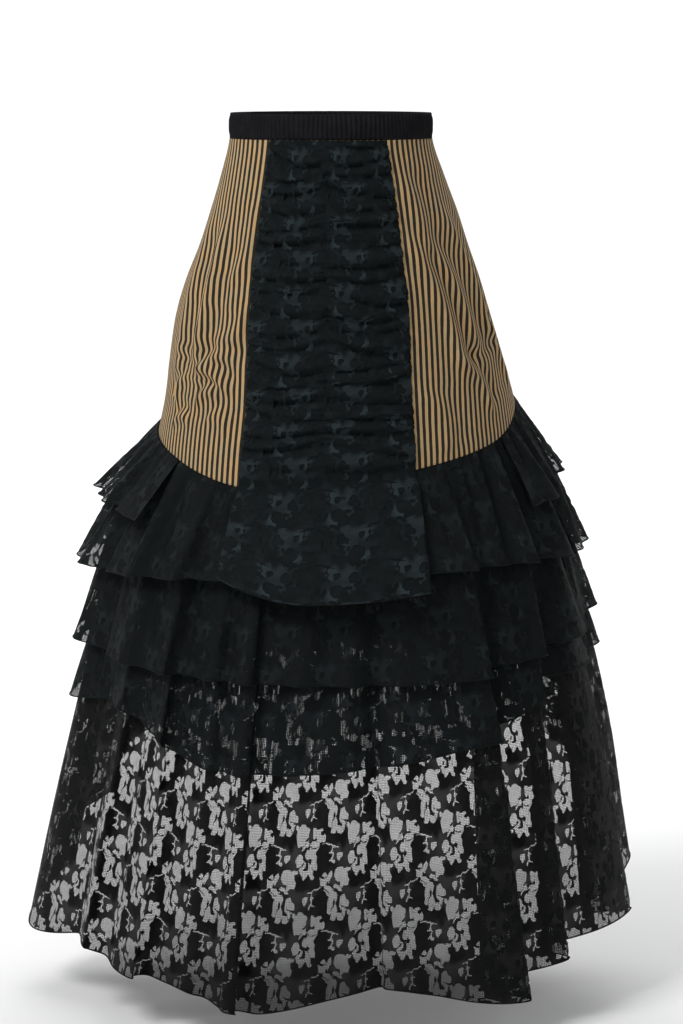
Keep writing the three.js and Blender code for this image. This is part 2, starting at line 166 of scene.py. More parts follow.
# Creases of the striped panels: from one place to another, with their width and rise
CREASES = {
    "left": table(
        "turn height to_turn to_height width rise",
        (-53, -278, -33, -307, 8, 5.5), (-53, -280, -31, -262, 9, 5), (-52, -318, -40, -304, 8, 4.5),
        (-31, -212, -47, -256, 13, 5), (-57, -120, -55, -265, 11, 6), (-65, -345, -52, -338, 8, 4),
        (-66, -320, -60, -288, 8, 4), (-46, -335, -33, -352, 12, 3), (-73, -110, -68, -300, 12, 4.5),
        (-38, -90, -42, -180, 12, 3),
    ),
    "right": table(
        "turn height to_turn to_height width rise",
        (33, -120, 50, -288, 11, 7), (43, -125, 60, -262, 12, 6), (47, -262, 60, -332, 9, 6),
        (62, -100, 74, -258, 12, 5.5), (70, -225, 79, -308, 10, 4.5), (37, -50, 40, -160, 12, 4),
        (30, -300, 37, -375, 13, 3),
    ),
    "front": table(
        "turn height to_turn to_height width rise",
        (110, -50, 122, -200, 13, 5), (250, -60, 238, -210, 13, 5), (150, -248, 190, -262, 10, 4),
        (206, -120, 228, -252, 12, 4.5), (132, -226, 112, -298, 12, 4.5), (168, -284, 202, -276, 9, 3.5),
        (138, -90, 148, -190, 13, 4), (176, -60, 182, -170, 13, 3),
    ),
}

# Gaps round one rose of the lace, in millimetres from its middle
GAPS = table(
    "x y wide tall lean lobe",
    (26.9, 8.3, 5.0, 11.2, 34, 0.03), (27.0, -10.8, 6.0, 12.0, 3, 0.04), (26.5, 0, 4.6, 6, 0, 0),
    (38.8, 20.0, 7.8, 11.6, 0, 0.04), (37.6, 30.0, 6.2, 7.4, 0, 0.03), (17.6, 25.0, 4.9, 8.0, -4, 0.05),
    (25.4, 27.6, 2.2, 6.8, -6, 0), (41.8, -6.8, 5.2, 7.8, -8, 0.04), (37.8, -17.2, 4.8, 8.2, -14, 0.04),
    (41.6, 0.6, 2.6, 4.6, 0, 0), (47.6, -16.6, 2.0, 2.8, 20, 0), (-3.8, 0, 3.2, 4.8, 12, 0.1),
)

# Leaves of cloth that lie inside the gaps
LEAVES = table(
    "x y wide tall lean lobe",
    (33.8, 20.4, 2.2, 3.8, 62, 0.1), (41.8, 11.0, 2.4, 4.0, -52, 0.1), (36.2, -13.0, 2.2, 3.0, 70, 0.1),
    (23.2, -17.6, 1.9, 3.6, 24, 0.1), (31.6, 10.8, 2.0, 3.0, -66, 0.1), (15.4, 28.0, 1.9, 3.0, 50, 0.1),
    (44.6, -10.6, 1.9, 2.8, 76, 0.1), (29.6, -3.4, 1.6, 3.2, 14, 0.1),
)

# Petals and leaves, dark at tone 0 and pale at 1
PETALS = table(
    "x y wide tall lean lobe tone",
    (14, -3.5, 9, 17, 5, 0, 0.15), (-5, 21, 8, 8, 0, 0, 0.1), (6, 19, 8, 9, 0, 0, 0.25),
    (-13, 4, 8, 7, 0, 0, 0.6), (-8, -8, 7, 7, 0, 0, 0.45), (2.5, -15, 8, 7.5, 0, 0, 0.3),
    (0, 3, 5, 8, 0, 0, 0.8), (29, 24, 3, 6, 0, 0, 0.9), (36, -7, 3, 9, -15, 0, 0.25),
    (32, 12, 2.5, 9, 36, 0, 0.3), (46, -12, 3, 4, 0, 0, 0.6),
)

# Thin slits inside the rose: a width and the places that each passes through
SLITS = (
    (1.3, (14.5, 15.5), (11.0, 15.8), (8.6, 14.2), (5.3, 13.6), (2.8, 9.4), (4.2, 6.0), (3.0, 2.5),
     (4.0, -1.5), (2.4, -9)),
    (1.1, (2.8, 9.4), (0.2, 11.4), (-2.6, 10.4)),
    (1.1, (3.6, 4.2), (6.8, 3.4)),
    (1.1, (3.6, -2.5), (6.2, -5.0)),
    (1.1, (39.2, -0.5), (36.6, -6.0)),
    (1.0, (30.2, 16.5), (32.4, 13.2)),
)

# Thin stems that cross the gaps: a width and the places that each passes through
STEMS = (
    (1.3, (19.5, 14.5), (23.5, 10.0), (27.5, 12.5), (35.0, 10.0)),
    (1.2, (29.5, 2.5), (30.2, -6.0), (25.5, -13.0), (23.5, -23.5)),
    (1.3, (30.5, 24.0), (35.0, 19.5), (37.0, 12.5), (43.5, 9.5)),
    (1.2, (33.0, -12.0), (38.5, -14.0), (40.5, -25.5)),
    (1.2, (38.0, -1.0), (40.0, -9.5), (47.5, -10.5)),
    (1.2, (14.0, 29.5), (17.5, 26.0), (23.0, 27.5)),
)

# One repeat across, and the height of one row of roses
ROSE_WIDE = 62.0
ROSE_TALL = 51.0


class SkirtSizes(bpy.types.PropertyGroup):
    """Sizes that a maker would change."""

    stripe_pitch: bpy.props.FloatProperty(
        name="Stripe pitch", description="From one tan stripe to the next", default=0.0076,
        min=0.002, max=0.05, unit="LENGTH")
    tan_share: bpy.props.FloatProperty(
        name="Tan share", description="Share of each pitch that is tan", default=0.485,
        min=0.1, max=0.9, subtype="FACTOR")
    crease_share: bpy.props.FloatProperty(
        name="Crease strength", description="Share of each crease's full rise", default=1.0,
        min=0.0, max=1.5, subtype="FACTOR")
    swag_rise: bpy.props.FloatProperty(
        name="Swag rise", description="How far a ruched fold stands up", default=0.0105,
        min=0.001, max=0.02, unit="LENGTH")
    swag_pitch: bpy.props.FloatProperty(
        name="Swag pitch", description="From one ruched fold to the next", default=0.0195,
        min=0.008, max=0.06, unit="LENGTH")
    hem_roll: bpy.props.FloatProperty(
        name="Rolled hem", description="Radius of the rolled hem", default=0.0009,
        min=0.0003, max=0.004, unit="LENGTH")
    cotton_wall: bpy.props.FloatProperty(
        name="Cotton", description="Thickness of the striped cotton", default=0.0012,
        min=0.0004, max=0.004, unit="LENGTH")


class SkirtColours(bpy.types.PropertyGroup):
    """Colours of the cloths."""

    tan: bpy.props.FloatVectorProperty(
        name="Tan stripe", description="The light stripe", default=(0.445, 0.318, 0.168),
        size=3, subtype="COLOR", min=0, max=1)
    dark: bpy.props.FloatVectorProperty(
        name="Dark stripe", description="The dark stripe", default=(0.022, 0.0175, 0.013),
        size=3, subtype="COLOR", min=0, max=1)
    lace: bpy.props.FloatVectorProperty(
        name="Lace", description="The ruffles' darker petals", default=(0.0034, 0.0050, 0.0056),
        size=3, subtype="COLOR", min=0, max=1)
    lace_light: bpy.props.FloatVectorProperty(
        name="Lace, light", description="The ruffles' lighter threads", default=(0.0125, 0.0178, 0.0196),
        size=3, subtype="COLOR", min=0, max=1)
    # The ruched panel's lace is the same lace as the ruffles, but its lighter threads get a brighter copy of
    # the lace colour. This is a painted highlight that makes the ruched folds look more lit.
    ruched_painted_highlight: bpy.props.FloatVectorProperty(
        name="Ruched lace, light", description="The ruched lace's lighter threads",
        default=(0.027, 0.038, 0.042), size=3, subtype="COLOR", min=0, max=1)
    flounce: bpy.props.FloatVectorProperty(
        name="Flounce", description="The flounce's darker petals", default=(0.0034, 0.0034, 0.0032),
        size=3, subtype="COLOR", min=0, max=1)
    flounce_light: bpy.props.FloatVectorProperty(
        name="Flounce, light", description="The flounce's lighter threads", default=(0.0150, 0.0145, 0.0135),
        size=3, subtype="COLOR", min=0, max=1)
    net: bpy.props.FloatVectorProperty(
        name="Net", description="The lace's fine ground", default=(0.0046, 0.0058, 0.0061),
        size=3, subtype="COLOR", min=0, max=1)
    base: bpy.props.FloatVectorProperty(
        name="Panel base", description="The plain cloth under the ruched lace",
        default=(0.0042, 0.0060, 0.0066), size=3, subtype="COLOR", min=0, max=1)
    elastic: bpy.props.FloatVectorProperty(
        name="Waistband", description="The waistband's casing", default=(0.006, 0.006, 0.007),
        size=3, subtype="COLOR", min=0, max=1)


class StageSettings(bpy.types.PropertyGroup):
    """The stage, lights and camera."""

    drop: bpy.props.FloatProperty(
        name="Floor below hem", description="Clear height under the longest hem", default=0.035,
        min=0.0, max=1.0, unit="LENGTH")
    key_power: bpy.props.FloatProperty(
        name="Key light", description="Power of the large light beside the camera", default=118.0,
        min=0, max=2000, subtype="POWER")
    fill_power: bpy.props.FloatProperty(
        name="Fill light", description="Power of the light on the other side", default=6.0,
        min=0, max=2000, subtype="POWER")
    backdrop_power: bpy.props.FloatProperty(
        name="Backdrop light", description="Power of the light on the backdrop", default=330.0,
        min=0, max=2000, subtype="POWER")
    room: bpy.props.FloatProperty(
        name="Room light", description="Strength of the even light all round", default=0.4,
        min=0, max=10, subtype="FACTOR")


def read(rows, column, where):
    """A smooth curve through one column, read at values of the table's first column."""
    keys = next(iter(rows.values()))
    values = rows[column]
    where = np.clip(np.asarray(where, dtype=float), keys[0], keys[-1])
    i = np.clip(np.searchsorted(keys, where) - 1, 0, len(keys) - 2)
    slopes = np.diff(values) / np.diff(keys)
    leans = np.concatenate([slopes[:1], (slopes[1:] + slopes[:-1]) / 2, slopes[-1:]])
    step = keys[i + 1] - keys[i]
    t = (where - keys[i]) / step
    return (
        (2 * t**3 - 3 * t**2 + 1) * values[i] + (t**3 - 2 * t**2 + t) * step * leans[i]
        + (3 * t**2 - 2 * t**3) * values[i + 1] + (t**3 - t**2) * step * leans[i + 1]
    )


def mix(a, b, share):
    """A value on the way from a to b."""
    return a + (b - a) * share


def smooth(value, low, high):
    """0 below low and 1 above high, with a soft way between."""
    t = np.clip((value - low) / (high - low), 0, 1)
    return t * t * (3 - 2 * t)


def oval(rows, height, turn):
    """Point of an oval section and its outward direction, each as x and y."""
    s = np.sin(np.radians(turn))
    c = np.cos(np.radians(turn))
    wide = np.where(s >= 0, read(rows, "right", height), read(rows, "left", height))
    deep = np.where(c >= 0, read(rows, "back", height), read(rows, "front", height))
    out = np.stack([-deep * s, wide * c], -1)
    return np.stack([-wide * s, deep * c], -1), out / np.linalg.norm(out, axis=-1, keepdims=True)


def hem(name, turn):
    """Height of the seam or of a layer's hem at any turn."""
    return read(HEMS, name, (np.asarray(turn) + FULL_TURN / 2) % FULL_TURN - FULL_TURN / 2)


def depth_at(height, turn):
    """Depth in layers below the seam: 0 at the seam, HEM_DEPTH at the flounce's hem."""
    stops = [hem(name, turn) for name in STOPS]
    return sum(np.clip((a - height) / (a - b), 0, 1) for a, b in zip(stops, stops[1:]))


def read_round(rows, column, turn):
    """A column of a table that goes round the body, read at any turn."""
    rounds = {name: np.concatenate([values[-3:], values, values[:3]]) for name, values in rows.items()}
    rounds["turn"][:3] -= FULL_TURN
    rounds["turn"][-3:] += FULL_TURN
    start = rows["turn"][0]
    return read(rounds, column, (np.asarray(turn, dtype=float) - start) % FULL_TURN + start)


# Small gathers under the seam: how many round the waist, how far they swing and where they are largest
GATHERS = table("count swing peak wander", (97, 2.6, 16, 1.6), (53, 4.6, 60, 1.1), (33, 5.4, 130, 0.9))
GATHER_EVEN = 0.7
GATHER_UNEVEN = 0.3

# How fast the gathers drift aside down the cloth
GATHER_DRIFT = 0.012

# Share of the gathers that is left under the flap, and the turns and depths where it fades in
FLAP_CALM = 0.2
CALM_LEFT = (-33, -29)
CALM_RIGHT = (24, 28)
CALM_BELOW = (120, 190)


def gather(turn, below):
    """Small gathers that start at the seam and die out down the cloth."""
    angle = np.radians(turn)
    total = 0
    for count, swing, peak, wander in zip(*GATHERS.values()):
        size = swing * (below / peak) * np.exp(1 - below / peak)
        size = size * (GATHER_EVEN + GATHER_UNEVEN * np.sin(5 * angle + count))
        aside = wander * (np.sin(7 * angle + count) + np.sin(3 * angle))
        drift = GATHER_DRIFT * below * np.sin(4 * angle + count)
        total = total + size * np.cos(count * angle + aside + drift)
    near = (np.asarray(turn) + FULL_TURN / 2) % FULL_TURN - FULL_TURN / 2
    under_flap = smooth(near, *CALM_LEFT) * (1 - smooth(near, *CALM_RIGHT)) * (1 - smooth(below, *CALM_BELOW))
    return total * (1 - (1 - FLAP_CALM) * under_flap)


def hanging_point(layer, turn, drawn, height, depth, swing):
    """Outer point of a layer where its cloth hangs drawn to a turn that may not be its own."""
    seam = hem("seam", turn)
    here, out = oval(FLOUNCE, height, drawn)
    start, _ = oval(FLOUNCE, seam, drawn)
    top, _ = oval(BODY, seam, drawn)
    s = np.sin(np.radians(drawn))
    c = np.cos(np.radians(drawn))
    sides = STAND_OFF[LAYER_NAMES[layer]]
    stand = np.where(s >= 0, sides["right"], sides["left"]) * s * s
    stand = stand + np.where(c >= 0, sides["back"], sides["front"]) * c * c
    stand = stand * (depth / (layer + 1)) ** STAND_OFF_CURVE
    away = 1 - LAYER_STEP * layer + stand + swing
    place = here - start + top + out * away[..., None]
    return np.concatenate([place, np.broadcast_to(height, turn.shape)[..., None]], -1), out


def layer_point(layer, turn, height):
    """Outer point of a gathered layer, in millimetres. Layer 0 is the short ruffle, 4 the flounce."""
    turn = np.asarray(turn, dtype=float)
    depth = depth_at(height, turn)
    drawn = turn + read_round(FOLDS, "aside", turn) * (depth / HEM_DEPTH) ** LAP_CURVE
    swing = read_round(FOLDS, "swing", turn) * (depth / HEM_DEPTH) ** SWING_CURVE
    swing = swing + gather(turn, np.maximum(hem("seam", turn) - height, 0))
    return hanging_point(layer, turn, drawn, height, depth, swing)[0]


def ruched_edge(side, height):
    """Turn of the ruched panel's left or right edge."""
    return read(RUCHED, side, height)


def body_girth(height):
    """Mean radius of the body of the skirt."""
    return (read(BODY, "left", height) + read(BODY, "back", height)) / 2


def grid_faces(columns, rows):
    """Four-sided faces of a grid of points, row by row from the top."""
    c, r = np.meshgrid(np.arange(columns), np.arange(rows))
    a = (r * (columns + 1) + c).ravel()
    return np.stack([a, a + columns + 1, a + columns + 2, a + 1], -1)


def make_piece(name, points, faces, material, grain=None, wall=None):
    """A mesh object from points in millimetres, with its cloth coordinates kept as an attribute."""
    mesh = bpy.data.meshes.new(name)
    points = np.asarray(points, dtype=np.float32).reshape(-1, 3) * MM
    faces = np.asarray(faces, dtype=np.int32)
    mesh.vertices.add(len(points))
    mesh.vertices.foreach_set("co", points.ravel())
    mesh.loops.add(faces.size)
    mesh.loops.foreach_set("vertex_index", faces.ravel())
    mesh.polygons.add(len(faces))
    mesh.polygons.foreach_set("loop_start", np.arange(0, faces.size, faces.shape[1], dtype=np.int32))
    mesh.polygons.foreach_set("use_smooth", np.ones(len(faces), dtype=bool))
    mesh.update(calc_edges=True)
    mesh.validate()
    if grain is not None:
        layer = mesh.attributes.new("grain", "FLOAT_VECTOR", "POINT")
        layer.data.foreach_set("vector", np.asarray(grain, dtype=np.float32).ravel())
    mesh.materials.append(material)
    piece = bpy.data.objects.new(name, mesh)
    bpy.context.scene.collection.objects.link(piece)
    if wall:
        shell = piece.modifiers.new("Cloth", "SOLIDIFY")
        shell.thickness = wall
        shell.offset = -1
    return piece


def tube(path, radius, sides=5):
    """Points and faces of a thin closed roll along a path, both in millimetres."""
    path = np.asarray(path)
    ahead = np.gradient(path, axis=0)
    ahead /= np.linalg.norm(ahead, axis=1, keepdims=True)
    side = np.cross(ahead, (0, 0, 1))
    side /= np.linalg.norm(side, axis=1, keepdims=True)
    up = np.cross(side, ahead)
    angles = np.arange(sides) * 2 * np.pi / sides
    ring = np.cos(angles)[None, :, None] * side[:, None] + np.sin(angles)[None, :, None] * up[:, None]
    points = (path[:, None] + radius * ring).reshape(-1, 3)
    i, j = np.meshgrid(np.arange(len(path) - 1), np.arange(sides), indexing="ij")
    k = (j + 1) % sides
    faces = np.stack([i * sides + j, i * sides + k, (i + 1) * sides + k, (i + 1) * sides + j], -1)
    return points, faces.reshape(-1, 4)


class Signal:
    """A shader socket that takes part in Python expressions."""

    def __init__(self, finish, socket):
        self.finish = finish
        self.socket = socket

    def maths(self, operation, first, second=0.0):
        """A Math node on sockets or values."""
        return self.finish.node("ShaderNodeMath", {"operation": operation}, {0: first, 1: second})

    def __add__(self, other):
        return self.maths("ADD", self, other)

    __radd__ = __add__

    def __sub__(self, other):
        return self.maths("SUBTRACT", self, other)

    def __rsub__(self, other):
        return self.maths("SUBTRACT", other, self)

    def __mul__(self, other):
        return self.maths("MULTIPLY", self, other)

    __rmul__ = __mul__

    def __truediv__(self, other):
        return self.maths("DIVIDE", self, other)

    def wave(self):
        return self.maths("SINE", self)

    def fraction(self):
        return self.maths("FRACT", self)

    def size(self):
        return self.maths("ABSOLUTE", self)

    def step(self, low, high):
        """0 below low and 1 above high, with a soft way between."""
        return self.finish.node(
            "ShaderNodeMapRange", {"interpolation_type": "SMOOTHSTEP"}, {0: self, 1: low, 2: high})


class Finish:
    """A material that is being made."""

    def __init__(self, name):
        self.material = bpy.data.materials.new(name)
        self.material.use_nodes = True
        self.tree = self.material.node_tree
        self.tree.nodes.clear()

    def node(self, kind, settings=None, inputs=None, output=0):
        """Any shader node: its settings first, then values or links of its sockets."""
        made = self.tree.nodes.new(kind)
        for name, value in (settings or {}).items():
            setattr(made, name, value)
        for key, value in (inputs or {}).items():
            if isinstance(value, Signal):
                self.tree.links.new(value.socket, made.inputs[key])
            else:
                made.inputs[key].default_value = value
        return Signal(self, made.outputs[output])

    def blend(self, share, a, b):
        """Two colours mixed."""
        colours = {6: a if isinstance(a, Signal) else (*a, 1), 7: b if isinstance(b, Signal) else (*b, 1)}
        return self.node("ShaderNodeMix", {"data_type": "RGBA"}, {0: share, **colours}, output=2)

    def grain(self):
        """Cloth coordinates: millimetres across, millimetres along and tone."""
        grain = self.node("ShaderNodeAttribute", {"attribute_name": "grain"}, output="Vector")
        return [self.node("ShaderNodeSeparateXYZ", None, {0: grain}, output=i) for i in range(3)], grain

    def noise(self, place, scale, detail=3.0, stretch=(1, 1, 1)):
        """Cloudy noise from 0 to 1."""
        wide = self.node("ShaderNodeVectorMath", {"operation": "MULTIPLY"}, {0: place, 1: stretch})
        return self.node("ShaderNodeTexNoise", None, {"Vector": wide, "Scale": scale, "Detail": detail})

    def bump(self, height, distance, strength=1.0):
        """The normal of a surface with this height."""
        return self.node(
            "ShaderNodeBump", None, {"Height": height, "Distance": distance, "Strength": strength})

    def shade(self, colour, roughness, normal, constants):
        """Ends the material in one cloth shader."""
        colour = colour if isinstance(colour, Signal) else (*colour, 1)
        inputs = {"Base Color": colour, "Roughness": roughness, "Normal": normal, **constants}
        shader = self.node("ShaderNodeBsdfPrincipled", None, inputs)
        end = self.tree.nodes.new("ShaderNodeOutputMaterial")
        self.tree.links.new(shader.socket, end.inputs["Surface"])
        return self.material


# Pitches of the weaves in millimetres, and depths of the weaves in metres
TWILL_PITCH = 1.1
WEFT_PITCH = 0.9
KNIT_WIDE = 1.3
KNIT_TALL = 1.5
COTTON_DEPTH = 0.00016
LACE_DEPTH = 0.0004
NET_DEPTH = 0.0001
PLAIN_DEPTH = 0.00014


def striped_cotton(sizes, colours):
    """Tan and near-black woven stripes with a twill grain."""
    finish = Finish("striped_cotton")
    (across, along, _), grain = finish.grain()
    pitch = sizes.stripe_pitch / MM
    waver = finish.noise(grain, 0.35, 2.0, (1.0, 0.25, 1.0)) - 0.5
    place = ((across + waver * 0.7) / pitch).fraction()
    edge = 0.045
    tan = place.step(0.0, edge) - place.step(sizes.tan_share, sizes.tan_share + edge)
    cloudy = finish.noise(grain, 0.05, 3.0)
    fibre = finish.noise(grain, 2.2, 2.0, (1.0, 0.18, 1.0))
    warm = tuple(c * f for c, f in zip(colours.tan, (1.18, 1.02, 0.86)))
    pale = tuple(min(1, c * f) for c, f in zip(colours.tan, (1.22, 1.27, 1.3)))
    light = finish.blend(cloudy.step(0.35, 0.65), warm, colours.tan[:])
    light = finish.blend(fibre.step(0.35, 0.8) * 0.55, light, pale)
    dim = tuple(c * 1.9 for c in colours.dark)
    dark = finish.blend(fibre.step(0.45, 0.9) * 0.6, colours.dark[:], dim)
    twill = ((across + along * 0.8) * (2 * math.pi / TWILL_PITCH)).wave()
    weft = (along * (2 * math.pi / WEFT_PITCH)).wave()
    height = twill * 0.5 + weft * 0.3 + fibre * 0.9 + tan * 0.9
    roughness = 0.9 - tan * 0.1 - fibre * 0.08
    return finish.shade(
        finish.blend(tan, dark, light), roughness, finish.bump(height, COTTON_DEPTH, 0.8),
        {"Sheen Weight": 0.06, "Sheen Roughness": 0.5, "Specular IOR Level": 0.12})


def rose_lace(name, dark, light, sheer=0.0):
    """Black lace: a lighter and a darker thread, with pale petals that may be sheer."""
    finish = Finish(name)
    (across, along, tone), grain = finish.grain()
    cloudy = finish.noise(grain, 0.09, 2.0)
    thread = finish.noise(grain, 1.6, 2.0, (1.0, 0.35, 1.0))
    share = (tone * 0.85 + cloudy * 0.4 + thread * 0.4 - 0.35).step(0.0, 1.0)
    knit = (across * (2 * math.pi / KNIT_WIDE)).wave() * (along * (2 * math.pi / KNIT_TALL)).wave()
    height = knit * 0.5 + thread * 0.9 + tone * 0.8
    roughness = 0.46 + thread * 0.3 - tone * 0.05
    constants = {"Specular IOR Level": 0.09}
    if sheer:
        pores = (knit.size() + thread * 0.3).step(0.2, 0.75)
        constants["Alpha"] = 1 - pores * (tone + cloudy * 0.5 - 0.2).step(0.1, 0.9) * sheer
    return finish.shade(
        finish.blend(share, dark[:], light[:]), roughness, finish.bump(height, LACE_DEPTH, 0.9), constants)


# Size of the net's holes
NET_PITCH = 1.9


def net_ground(name, colours, closed):
    """Fine black net that shows what is behind it, less so where it is more closed."""
    finish = Finish(name)
    (across, along, _), grain = finish.grain()
    uneven = finish.noise(grain, 0.12, 2.0) - 0.5
    rising = ((across + along) * (math.pi / NET_PITCH)).wave().size()
    falling = ((across - along) * (math.pi / NET_PITCH)).wave().size()
    bars = (along * (math.pi / NET_PITCH)).wave().size()
    holes = finish.node("ShaderNodeMath", {"operation": "MINIMUM"}, {0: rising, 1: falling})
    holes = finish.node("ShaderNodeMath", {"operation": "MINIMUM"}, {0: holes, 1: bars + 0.25})
    threads = 1 - (holes + uneven * 0.12).step(closed, closed + 0.18)
    return finish.shade(
        colours.net[:], 0.7 + uneven * 0.2, finish.bump(threads, NET_DEPTH, 0.5),
        {"Alpha": threads, "Specular IOR Level": 0.1})


def plain_cloth(name, colour, gloss, weave):
    """A plain black cloth with a fine weave."""
    finish = Finish(name)
    (across, along, _), grain = finish.grain()
    cloudy = finish.noise(grain, 0.06, 3.0)
    fibre = finish.noise(grain, 1.8, 2.0)
    light = tuple(c * 2.1 for c in colour)
    threads = (across * (2 * math.pi / weave)).wave() + (along * (2 * math.pi / weave)).wave()
    return finish.shade(
        finish.blend(cloudy.step(0.35, 0.75) * 0.6 + fibre * 0.3, colour[:], light),
        gloss + fibre * 0.2, finish.bump(threads * 0.4 + fibre, PLAIN_DEPTH, 0.8),
        {"Specular IOR Level": 0.1})


def lace_materials(name, colours, closed, dark, light, sheer):
    """The lace's own cloth and the net in its gaps."""
    cloth = rose_lace(f"{name}_lace", dark, light, sheer)
    return {"cloth": cloth, "net": net_ground(f"{name}_net", colours, closed)}


# Far outside every shape of the lace
OUTSIDE = -1e9


def shapes_field(x, y, shapes):
    """How far each point lies inside the nearest of some ovals, and that oval's tone."""
    best = np.full(np.shape(x), OUTSIDE)
    tone = np.zeros(np.shape(x))
    shades = shapes.get("tone", np.zeros(len(shapes["x"])))
    columns = [shapes[name] for name in ("x", "y", "wide", "tall", "lean", "lobe")]
    for middle_x, middle_y, wide, tall, lean, lobe, shade in zip(*columns, shades):
        c = math.cos(math.radians(lean))
        s = math.sin(math.radians(lean))
        along = ((x - middle_x) * c + (y - middle_y) * s) / wide
        across = ((y - middle_y) * c - (x - middle_x) * s) / tall
        round_it = 1 + lobe * np.cos(5 * np.arctan2(across, along) + middle_x)
        inside = (1 - np.hypot(along, across) / round_it) * min(wide, tall)
        tone = np.where(inside > best, shade, tone)
        best = np.maximum(best, inside)
    return best, tone


def lines_field(x, y, lines):
    """How far each point lies inside the nearest of some thick lines."""
    best = np.full(np.shape(x), OUTSIDE)
    for width, *points in lines:
        for (x0, y0), (x1, y1) in zip(points, points[1:]):
            dx, dy = x1 - x0, y1 - y0
            t = np.clip(((x - x0) * dx + (y - y0) * dy) / (dx * dx + dy * dy), 0, 1)
            best = np.maximum(best, width / 2 - np.hypot(x - x0 - t * dx, y - y0 - t * dy))
    return best


# Uneven edges of the lace: waves across and down in one repeat, with their start and size
RIPPLES = table(
    "across down start size",
    (1, 1, 0.4, 0.8), (2, -3, 2.1, 0.8), (5, 4, 0.9, 0.55), (-7, 9, 4.0, 0.4), (11, -8, 1.7, 0.3),
)
RIPPLE_TURN = 1.3

# How much every strand of the lace is thinned, and where the first rose of a repeat stands
STRAND_TRIM = 0.2
ROSE_START = 0.25
HALF_DROP = 0.5


def rippled(x, y):
    """Places moved aside by the lace's ripples, the same in every repeat."""
    move_x = 0
    move_y = 0
    for across, down, start, size in zip(*RIPPLES.values()):
        wave = 2 * np.pi * (across * x / ROSE_WIDE + down * y / (2 * ROSE_TALL)) + start
        move_x = move_x + size * np.sin(wave)
        move_y = move_y + size * np.cos(RIPPLE_TURN * start + wave)
    return x + move_x, y + move_y


def lace_field(x, y):
    """How far a point lies inside the cloth, and its tone. Every second row of roses is turned over."""
    x, y = rippled(x, y)
    gap = np.full(np.shape(x), OUTSIDE)
    nearest = np.full(np.shape(x), OUTSIDE)
    tone = np.zeros(np.shape(x))
    for row in range(-1, 3):
        flip = -1 if row % 2 else 1
        for column in range(-2, 3):
            middle = (column + ROSE_START + (HALF_DROP if row % 2 else 0)) * ROSE_WIDE
            across = (x - middle) * flip
            along = y - (row + 0.5) * ROSE_TALL
            twigs = np.maximum(lines_field(across, along, STEMS), shapes_field(across, along, LEAVES)[0])
            open_here = np.minimum(shapes_field(across, along, GAPS)[0], -twigs)
            gap = np.maximum(gap, open_here)
            gap = np.maximum(gap, lines_field(across, along, SLITS))
            petal, shade = shapes_field(across, along, PETALS)
            tone = np.where(petal > nearest, shade, tone)
            nearest = np.maximum(nearest, petal)
    return -gap - STRAND_TRIM, tone


# Grid that the lace's edges are found on, how far they may be off, and the grid inside the cloth
TRACE_STEP = 1.1
FINE_SLACK = 0.3
PLAIN_SLACK = 0.5
GROUND_STEP = 7.0
EDGE_CLEAR = 1.2
GROUND_CLEAR = 1.6
BORDER_CLEAR = 1.0

# Lengths below which two places or a value count as one or as nothing, and digits that places are matched to
TOUCH = 1e-4
NO_ZERO = 1e-6
NO_LENGTH = 1e-9
MERGE = 1e-5
POINT_DIGITS = 4
PLACE_DIGITS = 2


def trace_outlines(width, height):
    """Runs of points along the lace's edges inside one repeat."""
    nx = round(width / TRACE_STEP)
    ny = round(height / TRACE_STEP)
    xs = np.linspace(0, width, nx + 1)
    ys = np.linspace(0, height, ny + 1)
    field = lace_field(*np.meshgrid(xs, ys))[0]
    field = np.where(np.abs(field) < NO_ZERO, NO_ZERO, field)
    spots = {}
    links = {}

    def spot(i, j, k, m):
        key = (i, j, k, m)
        if key not in spots:
            a, b = field[j, i], field[m, k]
            t = a / (a - b)
            spots[key] = (mix(xs[i], xs[k], t), mix(ys[j], ys[m], t))
        return key

    for j in range(ny):
        for i in range(nx):
            ring = ((i, j), (i + 1, j), (i + 1, j + 1), (i, j + 1))
            signs = [field[b, a] > 0 for a, b in ring]
            cuts = []
            for n in range(4):
                if signs[n] != signs[(n + 1) % 4]:
                    low, high = sorted((ring[n], ring[(n + 1) % 4]))
                    cuts.append(spot(*low, *high))
            for a, b in zip(cuts[::2], cuts[1::2]):
                links.setdefault(a, []).append(b)
                links.setdefault(b, []).append(a)
    runs = []
    ends = [key for key, near in links.items() if len(near) == 1]
    for start in ends + list(links):
        if not links[start]:
            continue
        run = [start]
        while links[run[-1]]:
            step = links[run[-1]].pop()
            links[step].remove(run[-1])
            run.append(step)
        runs.append(np.array([spots[key] for key in run]))
    return runs


def thin_run(run, slack):
    """A run of points without those that its shape doesn't need."""
    if len(run) < 4:
        return run
    if np.allclose(run[0], run[-1]):
        far = int(np.argmax(np.linalg.norm(run - run[0], axis=1)))
        return np.concatenate([thin_run(run[: far + 1], slack)[:-1], thin_run(run[far:], slack)])
    line = run[-1] - run[0]
    offset = np.abs(np.cross(line, run - run[0])) / (np.linalg.norm(line) + NO_LENGTH)
    worst = int(np.argmax(offset))
    if offset[worst] < slack:
        return run[[0, -1]]
    return np.concatenate([thin_run(run[: worst + 1], slack)[:-1], thin_run(run[worst:], slack)])


